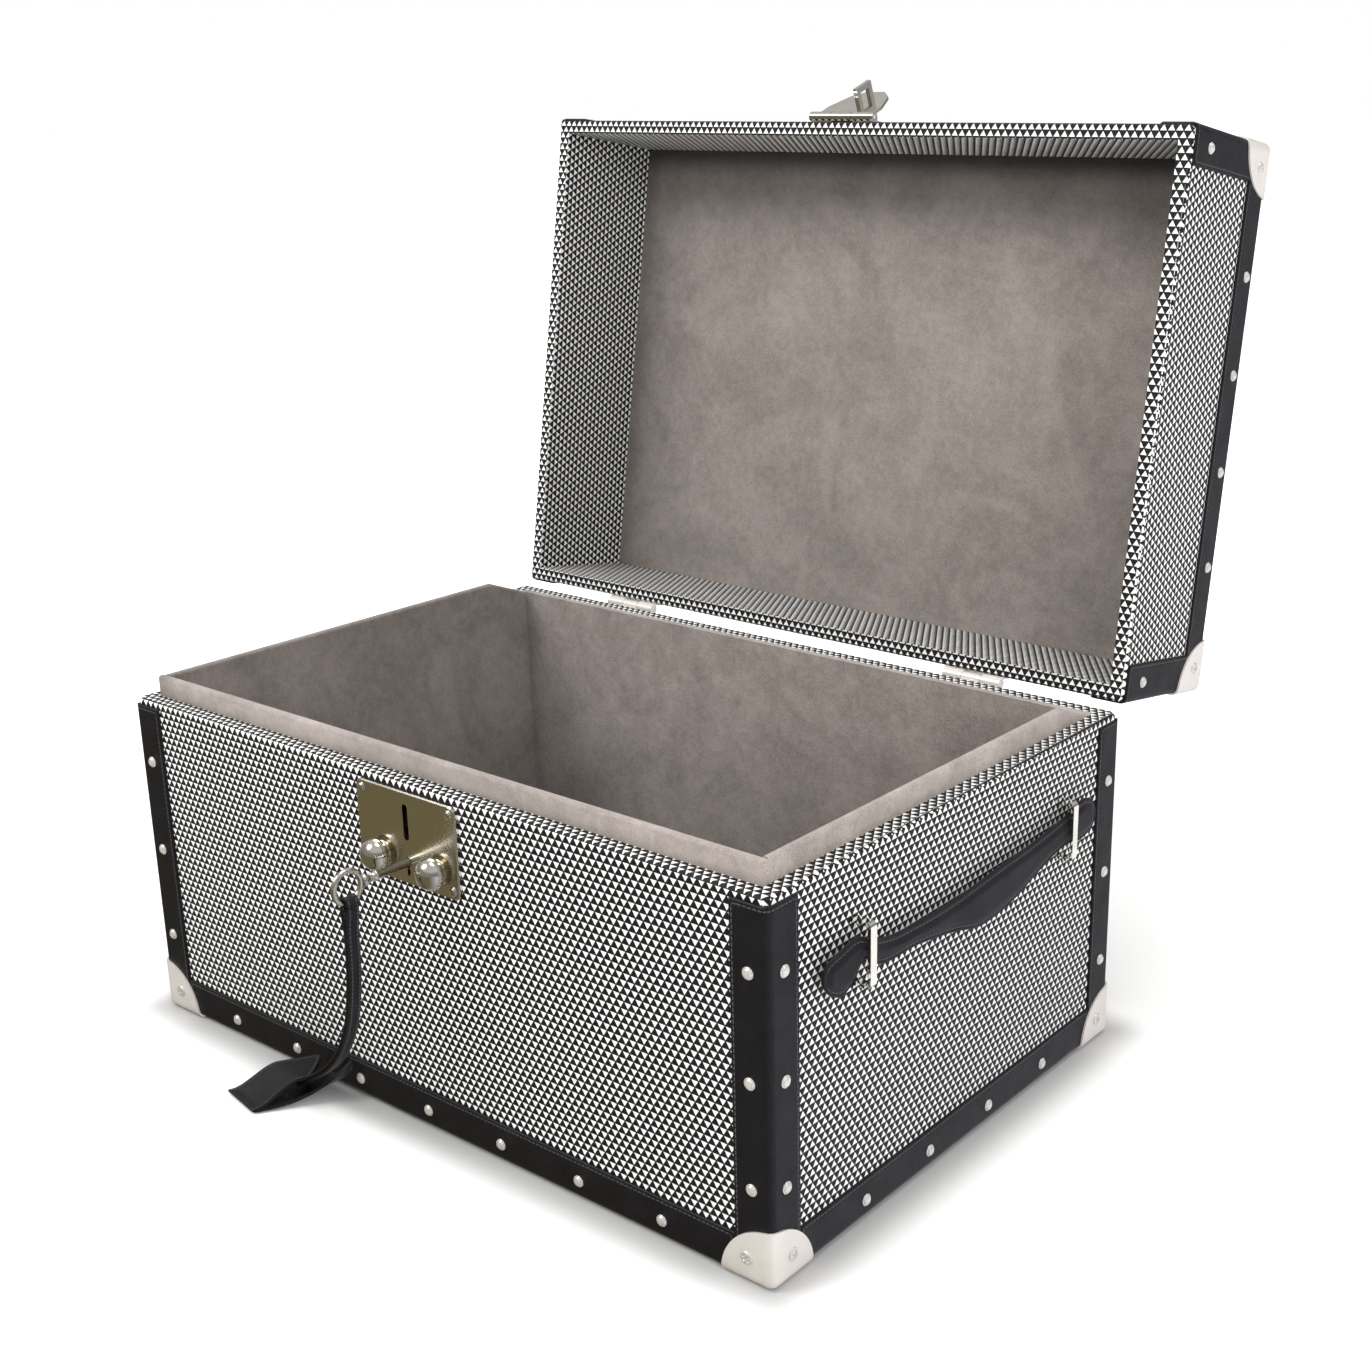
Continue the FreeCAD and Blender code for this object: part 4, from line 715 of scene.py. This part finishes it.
def stud_head(radius, height):
    """A pressed dome on a thin rolled flange: above the flange the height is a quarter ellipse."""
    dome = np.linspace(np.pi / 2, 0, 8)
    inner = radius * 0.84
    flange = height * 0.3
    profile = [(0, -0.4), (radius * 0.97, -0.4), (radius, flange * 0.4), (radius * 0.96, flange * 0.9),
               (radius * 0.88, flange)]
    profile += [(inner * math.sin(a), flange + (height - flange) * math.cos(a)) for a in dome[:-1]]
    return lathe(profile + [(0, height)], 24)


def screw_head(radius, height):
    """A domed head with a cross recess: the dome's height less a short slope inside either arm."""
    rings, sides = 17, 48
    reach, turn = np.meshgrid(np.linspace(0.04, 1.0, rings), np.linspace(0, 2 * np.pi, sides, endpoint=False),
                              indexing="ij")
    x, y = reach * np.cos(turn), reach * np.sin(turn)

    def arm(u, v):
        return np.clip((0.17 - np.abs(u)) / 0.05, 0, 1) * np.clip((0.68 - np.abs(v)) / 0.08, 0, 1)

    recess = np.maximum(arm(x, y), arm(y, x))
    rise = height * (0.35 + 0.65 * np.sqrt(np.clip(1 - reach ** 2, 0, 1)))
    top = np.stack([x * radius, y * radius, rise - recess * height * 0.62], -1)[::-1]
    foot = np.stack([x[-1] * radius, y[-1] * radius, np.full(sides, -0.3)], -1)
    points = np.vstack([foot, top.reshape(-1, 3), [[0, 0, -0.3], [0, 0, height * 0.38]]])
    count = len(points)
    return points, grid_faces(rings + 1, sides) + end_fans(sides, rings * sides, count - 2, count - 1)


STUD_PITCH = 59.2
ROW_X = STUD_PITCH * np.arange(-3, 4)
ROW_Y = STUD_PITCH * (np.arange(4) - 1.5)
FACES = {FRONT: (ROW_X, False, -FACE_Y), BACK: (ROW_X, False, FACE_Y),
         LEFT: (ROW_Y, True, -SIDE_X), RIGHT: (ROW_Y, True, SIDE_X)}
COLUMN = {FRONT: 237.8, BACK: 237.8, LEFT: 155.3, RIGHT: 155.3}
SCREW = {FRONT: 234.7, BACK: 234.7, LEFT: 152.2, RIGHT: 152.2}
BASE_STUDS = 12.2, (54.0, 112.5, 171.0)
LID_STUDS = 90.7, (21.0,)
HINGE_X = 144.5


def on_face(facing, across, level, y_middle=0.0, grow=0.0):
    """A point on one of a case's four upright faces, out from the leather by grow."""
    is_side, face = FACES[facing][1:]
    face = face + math.copysign(grow, face)
    return (face, across + y_middle, level) if is_side else (across, face + y_middle, level)


def stud_places(row_level, column_levels, y_middle):
    """Facing and place of each stud of a case: a row along each face, and columns at its corners."""
    places = [(facing, on_face(facing, across, row_level, y_middle))
              for facing, (row, _, _) in FACES.items() for across in row]
    places += [(facing, on_face(facing, side * COLUMN[facing], level, y_middle))
               for facing in FACES for side in (-1, 1) for level in column_levels]
    return places


def screw_places(level, y_middle):
    """Facing and place of each cap screw of a case."""
    return [(facing, on_face(facing, side * SCREW[facing], level, y_middle, 1.2))
            for facing in FACES for side in (-1, 1)]


def scatter(shape, places, opened=False, spins=None):
    """Seats one shape at each place; opened swings the places with the lid."""
    spins = np.zeros(len(places)) if spins is None else spins
    if opened:
        places = [(swing_facing(facing), swing([at])[0]) for facing, at in places]
    return joined([seat(shape, facing, at, spin) for (facing, at), spin in zip(places, spins)])


def heads():
    """Every stud, screw and rivet; each screw's cross is turned by chance."""
    chance = np.random.default_rng(7)
    stud = stud_head(3.4, 2.0)
    piece("base_stud_domes", scatter(stud, stud_places(*BASE_STUDS, 0.0)), STUD_NICKEL,
          "base", ["base_studs"])
    piece("lid_stud_domes", scatter(stud, stud_places(*LID_STUDS, LID_MIDDLE), True), STUD_NICKEL,
          "lid", ["lid_studs"])
    hinge_x = [side * HINGE_X + step for side in (-1, 1) for step in (-13.0, 0.0, 13.0)]
    base_hinge = scatter(screw_head(2.9, 1.6), [(BACK, (x, 167.6, 196.2)) for x in hinge_x], False,
                         chance.uniform(0, 1.6, 6))
    lid_hinge = scatter(screw_head(2.9, 1.6), [(BACK, (x, -2.6, 15.0)) for x in hinge_x], True,
                        chance.uniform(0, 1.6, 6))
    base = scatter(screw_head(3.6, 1.3), screw_places(15.0, 0.0), False, chance.uniform(0, 1.6, 8))
    lid = scatter(screw_head(3.6, 1.3), screw_places(87.9, LID_MIDDLE), True, chance.uniform(0, 1.6, 8))
    for body, parts in (("base", [base, base_hinge]), ("lid", [lid, lid_hinge])):
        piece(body + "_cross_screws", joined(parts), STUD_NICKEL, body, [body + "_screws"])
    rivets = [(FRONT, (x, PLATE_FRONT, z)) for x in (-35.0, 35.0) for z in (157.5, 201.5)]
    piece("lock_rivet_domes", scatter(stud_head(2.9, 1.6), rivets), BRIGHT_NICKEL, "base",
          ["lock_rivets"])


heads()


# Corner caps and leather strips

CAP_RADIUS = 33.4
CAP_FOLD = 5.2
CAP_X = 251.2
CAP_Y = 168.7


def round_corner(inward, radius):
    """Points on a sharp corner, given by how far in they lie from each of its faces, moved to a rounded one:
    v = max(r - distance, 0) on each axis, and each distance below r becomes r - r v / |v|."""
    v = np.maximum(radius - inward, 0)
    length = np.linalg.norm(v, axis=-1, keepdims=True)
    return np.where(inward < radius, radius - radius * v / np.maximum(length, 1e-9), inward)


def cap(corner, signs):
    """A pressed corner: three quarter discs of one radius folded round a rounded corner. Rings at growing
    distance from the corner run over the three faces in turn, a quarter circle on each."""
    rings, sides = 26, 54
    turn = np.linspace(0, 3, sides, endpoint=False)
    leg = turn % 1 * np.pi / 2
    c, s, o = np.cos(leg), np.sin(leg), np.zeros_like(leg)
    first = np.arange(sides)
    way = np.array([(o, c, s), (s, o, c), (c, s, o)])[turn.astype(int), :, first]
    reach = CAP_RADIUS * np.linspace(0, 1, rings)[1:, None, None]
    inward = np.vstack([np.zeros((1, 3)), (reach * way).reshape(-1, 3)])
    inward = round_corner(inward, CAP_FOLD)
    points = np.array(corner, float) - inward * signs
    faces = grid_faces(rings - 1, sides, start=1)
    faces += np.stack([first + 1, (first + 1) % sides + 1, np.zeros(sides, int)], 1).tolist()
    if np.prod(signs) > 0:
        faces = [face[::-1] for face in faces]
    return points, faces


def caps():
    """Four caps at the base's foot and four at the lid's top."""
    base = [cap((CAP_X * x, CAP_Y * y, 0.0), (x, y, -1)) for x in (-1, 1) for y in (-1, 1)]
    lid = [cap((CAP_X * x, LID_MIDDLE + CAP_Y * y, 102.9), (x, y, 1)) for x in (-1, 1) for y in (-1, 1)]
    lid = [(swing(points), faces) for points, faces in lid]
    for body, parts in (("base", base), ("lid", lid)):
        made = piece(body + "_corner_caps", joined(parts), SATIN_NICKEL, body,
                     [body + "_caps"])
        thicken(made, 1.1, 0.3)


caps()


STRIP_WIDTH = 24.0
STRIP_THICK = 1.45
STRIP_ROLL = 1.2
STRIP_FOLD = 4.6
EDGE_X = 226.5
EDGE_Y = 144.0
LID_TOP = 101.7


def strip(start, end, first_way, second_way):
    """Leather folded over an edge from start to end, equally wide both ways. The fold is rounded, and near
    each cut edge the leather rolls down by its thickness: sink = T (1 - sqrt(1 - (1 - q)^2))."""
    start, end = np.array(start, float), np.array(end, float)
    first_way, second_way = np.array(first_way, float), np.array(second_way, float)
    length = np.linalg.norm(end - start)
    roll = np.array([0.0, 0.15, 0.4, 0.8, STRIP_ROLL])
    along = np.concatenate([roll, np.linspace(3.4, length - 3.4, 16), length - roll[::-1]])
    across = np.concatenate([roll, np.linspace(3.0, 17.0, 6), np.linspace(18.5, 23.6, 10)])
    signed = np.concatenate([across - STRIP_WIDTH, STRIP_WIDTH - across[::-1]])
    rim = STRIP_WIDTH - np.abs(signed)
    inward = np.stack([np.maximum(-signed, 0), np.maximum(signed, 0)], -1)
    inward = round_corner(inward, STRIP_FOLD)

    def edge(distance):
        q = np.clip(distance / STRIP_ROLL, 0, 1)
        return np.sqrt(1 - (1 - q) ** 2)

    ends = np.minimum(along, length - along)
    sink = STRIP_THICK * (1 - edge(rim)[None] * edge(ends)[:, None])
    face = np.where(signed[:, None] < 0, second_way, first_way)
    points = (start + (end - start) * (along / length)[:, None, None] + inward[None, :, :1] * first_way
              + inward[None, :, 1:] * second_way + sink[..., None] * face[None])
    near = np.minimum(rim[None], ends[:, None])
    run = np.where(ends[:, None] < rim[None], signed[None], along[:, None])
    faces = grid_faces(len(along), len(signed), loop=False)
    outward = -(first_way + second_way)
    if np.dot(np.cross(second_way - first_way, end - start), outward) < 0:
        faces = [quad[::-1] for quad in faces]
    return (points.reshape(-1, 3), faces), {"across": near.ravel() * MM, "along": run.ravel() * MM}


FROM_FACES = (("front", -FACE_Y, BACK), ("back", FACE_Y, FRONT))
FROM_SIDES = (("left", -SIDE_X, RIGHT), ("right", SIDE_X, LEFT))
UP, DOWN = (0, 0, 1), (0, 0, -1)


def base_strips():
    """Four upright corner strips and four along the foot."""
    for name, y, in_y in FROM_FACES:
        for side, x, in_x in FROM_SIDES:
            shape, values = strip((x, y, 1.5), (x, y, 207.0), in_x, in_y)
            made = piece("corner_strip_%s_%s" % (name, side), shape, STRIP_LEATHER, "base",
                         ["base_corner_trim_%s_%s" % (name, side)], values=values)
            thicken(made, 1.2)
        shape, values = strip((-EDGE_X, y, 1.2), (EDGE_X, y, 1.2), in_y, UP)
        thicken(piece("bottom_strip_" + name, shape, STRIP_LEATHER, "base",
                      ["base_edge_trim_" + name], values=values), 1.0)
    for side, x, in_x in FROM_SIDES:
        shape, values = strip((x, -EDGE_Y, 1.2), (x, EDGE_Y, 1.2), in_x, UP)
        thicken(piece("bottom_strip_" + side, shape, STRIP_LEATHER, "base",
                      ["base_edge_trim_" + side], values=values), 1.0)


base_strips()


def lid_strips():
    """The lid's corner strips and the strips round its top, laid out closed and swung open."""
    corners, edges = [], []
    for _, face, in_y in FROM_FACES:
        y = LID_MIDDLE + face
        for _, x, in_x in FROM_SIDES:
            corners.append(strip((x, y, 2.2), (x, y, LID_TOP), in_x, in_y))
        edges.append(strip((-EDGE_X, y, LID_TOP), (EDGE_X, y, LID_TOP), in_y, DOWN))
    for _, x, in_x in FROM_SIDES:
        edges.append(strip((x, LID_MIDDLE - EDGE_Y, LID_TOP), (x, LID_MIDDLE + EDGE_Y, LID_TOP), in_x, DOWN))
    for name, parts, node in (("lid_corner_strips", corners, "lid_corner_trims"),
                              ("lid_edge_strips", edges, "lid_edge_trims")):
        (points, faces), values = together(parts)
        thicken(piece(name, (swing(points), faces), STRIP_LEATHER, "lid", [node],
                      values=values), 1.1)


lid_strips()


# The lock's knobs and key

DOME_RADIUS = 9.25
DOME_FOOT = 3.2


def knob(side, x):
    """A push knob: a stem and a round dome with a rolled rim as one turned profile, on a nut behind the
    plate."""
    dome = np.linspace(math.pi / 2, 0, 26)
    profile = [(0, -4.0), (4.3, -4.0), (4.5, -3.8), (4.5, DOME_FOOT), (DOME_RADIUS - 0.5, DOME_FOOT),
               (DOME_RADIUS - 0.1, DOME_FOOT + 0.15)]
    profile += [(DOME_RADIUS * math.sin(a), DOME_FOOT + 0.4 + (DOME_RADIUS - 0.6) * math.cos(a))
                for a in dome[:-1]]
    profile += [(0, DOME_FOOT + DOME_RADIUS - 0.2)]
    nut = lathe([(0, -3.9), (5.0, -3.9), (5.3, -3.6), (5.3, -2.9), (5.0, -2.6), (0, -2.6)], 6)
    shape = joined([seat(part, FRONT, (x, PLATE_FRONT, LOCK_LINE)) for part in (lathe(profile, 48), nut)])
    piece("dome_knob_" + side, shape, BRIGHT_NICKEL, "knob_" + side, ["knob_" + side])


knob("left", -22.4)
knob("right", 22.4)


def key():
    """A turned shank with a ringed collar, a round-wire ring for its bow, and a flat bit behind the plate."""
    profile = [(0, 0), (2.2, 0), (2.5, 0.4), (2.5, 30.0), (3.0, 30.4), (3.0, 31.4), (2.4, 31.9), (2.4, 36.6),
               (3.0, 37.0), (3.6, 37.8), (3.6, 39.4), (3.1, 40.3), (2.0, 40.6), (0, 40.6)]
    shank = seat(lathe(profile, 32), FRONT, (0, -160.6, LOCK_LINE))
    bow = seat(wire_ring(BOW_RADIUS, 1.65), RIGHT, (0, BOW_Y - 0.2, LOCK_LINE))
    outline = ((-1, -165.5), (1, -165.5), (1, -163.1), (-1, -163.1))
    flat = np.array([(x, y, z) for z in (158.1, 165.0) for x, y in outline], float)
    sides = [[0, 1, 5, 4], [1, 2, 6, 5], [2, 3, 7, 6], [3, 0, 4, 7], [3, 2, 1, 0], [4, 5, 6, 7]]
    piece("ring_key", joined([shank, bow, (flat, sides)]), BRIGHT_NICKEL, "key", ["key"])


key()


# The padded handles

def through(x, points):
    """A smooth curve through given points: cubic runs that take each point's mean slope."""
    places, values = np.array(points, float).T
    slope = np.gradient(values, places)
    part = np.clip(np.searchsorted(places, x) - 1, 0, len(places) - 2)
    width = places[part + 1] - places[part]
    t = np.clip((x - places[part]) / width, 0, 1)
    return ((2 * t ** 3 - 3 * t ** 2 + 1) * values[part] + (t ** 3 - 2 * t ** 2 + t) * width * slope[part]
            + (3 * t ** 2 - 2 * t ** 3) * values[part + 1] + (t ** 3 - t ** 2) * width * slope[part + 1])


# A handle's outline from the side, as (y, z) along its top and along its bottom
HANDLE_TOP = ((-134.5, 166), (-121, 169), (-104, 171), (-98.5, 168.5), (-89, 164.5), (-54, 160), (-17, 160),
              (22, 163), (64, 166), (98.5, 170.5), (115, 174), (128.5, 169.5))
HANDLE_LOW = ((-134.5, 152), (-117, 145), (-108, 151), (-103, 156.5), (-89, 150), (-54, 147), (-17, 140.5),
              (4, 135), (24, 135.5), (44, 139), (65, 145.5), (98.5, 151.5), (110, 149.5), (128.5, 153))
HANDLE_X = 256.4
HANDLE_END = 7.0
BORDER = 3.2
BORDER_THICK = 1.05
PAD_THICK = 1.2


def padded_handle(side, sign):
    """A belt of leather with a raised pad: the outline's top and bottom follow smooth curves along the case,
    both ends are round, and the half thickness swells from the border's to the pad's by a smooth step."""
    rows, columns = 221, 29
    ends = HANDLE_TOP[0][0], HANDLE_TOP[-1][0]
    run = np.sin(np.linspace(-np.pi / 2, np.pi / 2, rows) * 0.92) / math.sin(np.pi / 2 * 0.92)
    run = (ends[0] + ends[1]) / 2 + run * (ends[1] - ends[0]) / 2
    to_end = np.minimum(run - ends[0], ends[1] - run)
    top = through(run, HANDLE_TOP)
    low = through(run, HANDLE_LOW)
    middle, half = (top + low) / 2, (top - low) / 2
    half = half * np.sqrt(np.clip(1 - (1 - np.minimum(to_end / HANDLE_END, 1)) ** 2, 0.002, 1))
    q = np.sin(np.linspace(-np.pi / 2, np.pi / 2, columns))
    rim = np.minimum(half[:, None] * (1 - np.abs(q))[None], (to_end + 0.2)[:, None])
    rise = np.clip((rim - BORDER) / 3.4, 0, 1)
    rolled = np.sqrt(1 - (1 - np.clip(rim / 1.0, 0, 1)) ** 2)
    thick = BORDER_THICK * rolled + PAD_THICK * rise * rise * (3 - 2 * rise)
    y = np.repeat(run[:, None], columns, 1)
    z = middle[:, None] + half[:, None] * q[None]
    x = np.full_like(z, HANDLE_X)
    outer = np.stack([x + thick, y, z], -1)
    inner = np.stack([x - thick, y, z], -1)[:, ::-1][:, 1:-1]
    points = np.concatenate([outer, inner], 1)
    near = np.concatenate([rim, rim[:, ::-1][:, 1:-1]], 1)
    count = points.shape[1]
    faces = grid_faces(rows, count)
    faces += [list(range(count))[::-1], list(range(count * (rows - 1), count * rows))]
    points = points.reshape(-1, 3) * (sign, 1, 1)
    if sign > 0:
        faces = [face[::-1] for face in faces]
    along = np.repeat(run[:, None], count, 1)
    made = piece("padded_handle_" + side, (points, faces), HANDLE_LEATHER, "handle_" + side,
                 ["handle_" + side], values={"across": near.ravel() * MM, "along": along.ravel() * MM})


padded_handle("left", -1)
padded_handle("right", 1)


# Floor and light

def surround():
    """The studio round the trunk: white to the eye, and in its light bright overhead, dim at eye level and
    dark below, warmer in front and cooler at the right and back. Mirror images see a dimmer overhead."""
    world = bpy.data.worlds.new("surround")
    world.use_nodes = True
    tree = world.node_tree
    way = add(tree, "ShaderNodeTexCoord").outputs["Generated"]
    parts = split(tree, way)
    back = ramp(tree, plus(tree, parts["X"], parts["Y"]), -0.6, 1.1)
    below = blend_colour(tree, back, (0.175, 0.152, 0.090), (0.70, 0.69, 0.74))
    level = blend_colour(tree, back, (0.26, 0.255, 0.24), (0.24, 0.24, 0.26))
    low = blend_colour(tree, ramp(tree, parts["Z"], -0.12, 0.06), below, level)
    ray = add(tree, "ShaderNodeLightPath").outputs
    overhead = blend_colour(tree, ray["Is Glossy Ray"], (1.15, 1.14, 1.12), (0.60, 0.59, 0.57))
    whole = blend_colour(tree, ramp(tree, parts["Z"], 0.28, 0.6), low, overhead)
    shown = blend_colour(tree, ray["Is Camera Ray"], whole, (1.0, 1.0, 1.0))
    put(tree.nodes["Background"].inputs["Color"], shown)
    bpy.context.scene.world = world


def light_stage():
    """A white sweep, a bright surround and three large soft lamps."""
    mesh = bpy.data.meshes.new("floor")
    turn = np.linspace(0, 2 * np.pi, 96, endpoint=False)
    rim = np.stack([25 * np.cos(turn), 25 * np.sin(turn), np.zeros(96)], -1)
    mesh.from_pydata(rim.tolist(), [], [list(range(96))])
    mesh.materials.append(make_floor())
    floor = show("floor", mesh)
    floor.visible_glossy = False
    surround()
    for name, place, aim, size, power in (
            ("key_lamp", (-1.2, -1.6, 2.2), (0.0, 0.0, 0.1), 1.4, 40.0),
            ("side_lamp", (1.6, -0.8, 0.9), (0.2, 0.0, 0.15), 0.9, 16.0),
            ("top_lamp", (0.2, 0.3, 2.8), (0.0, 0.0, 0.2), 1.6, 25.0)):
        data = bpy.data.lights.new(name, "AREA")
        data.shape = "DISK"
        data.size = size
        data.energy = power
        lamp = show(name, data)
        lamp.visible_glossy = name != "side_lamp"
        lamp.location = place
        toward = np.array(aim) - np.array(place)
        lamp.rotation_euler = (math.acos(-toward[2] / np.linalg.norm(toward)), 0.0,
                               math.atan2(toward[1], toward[0]) - math.pi / 2)


light_stage()
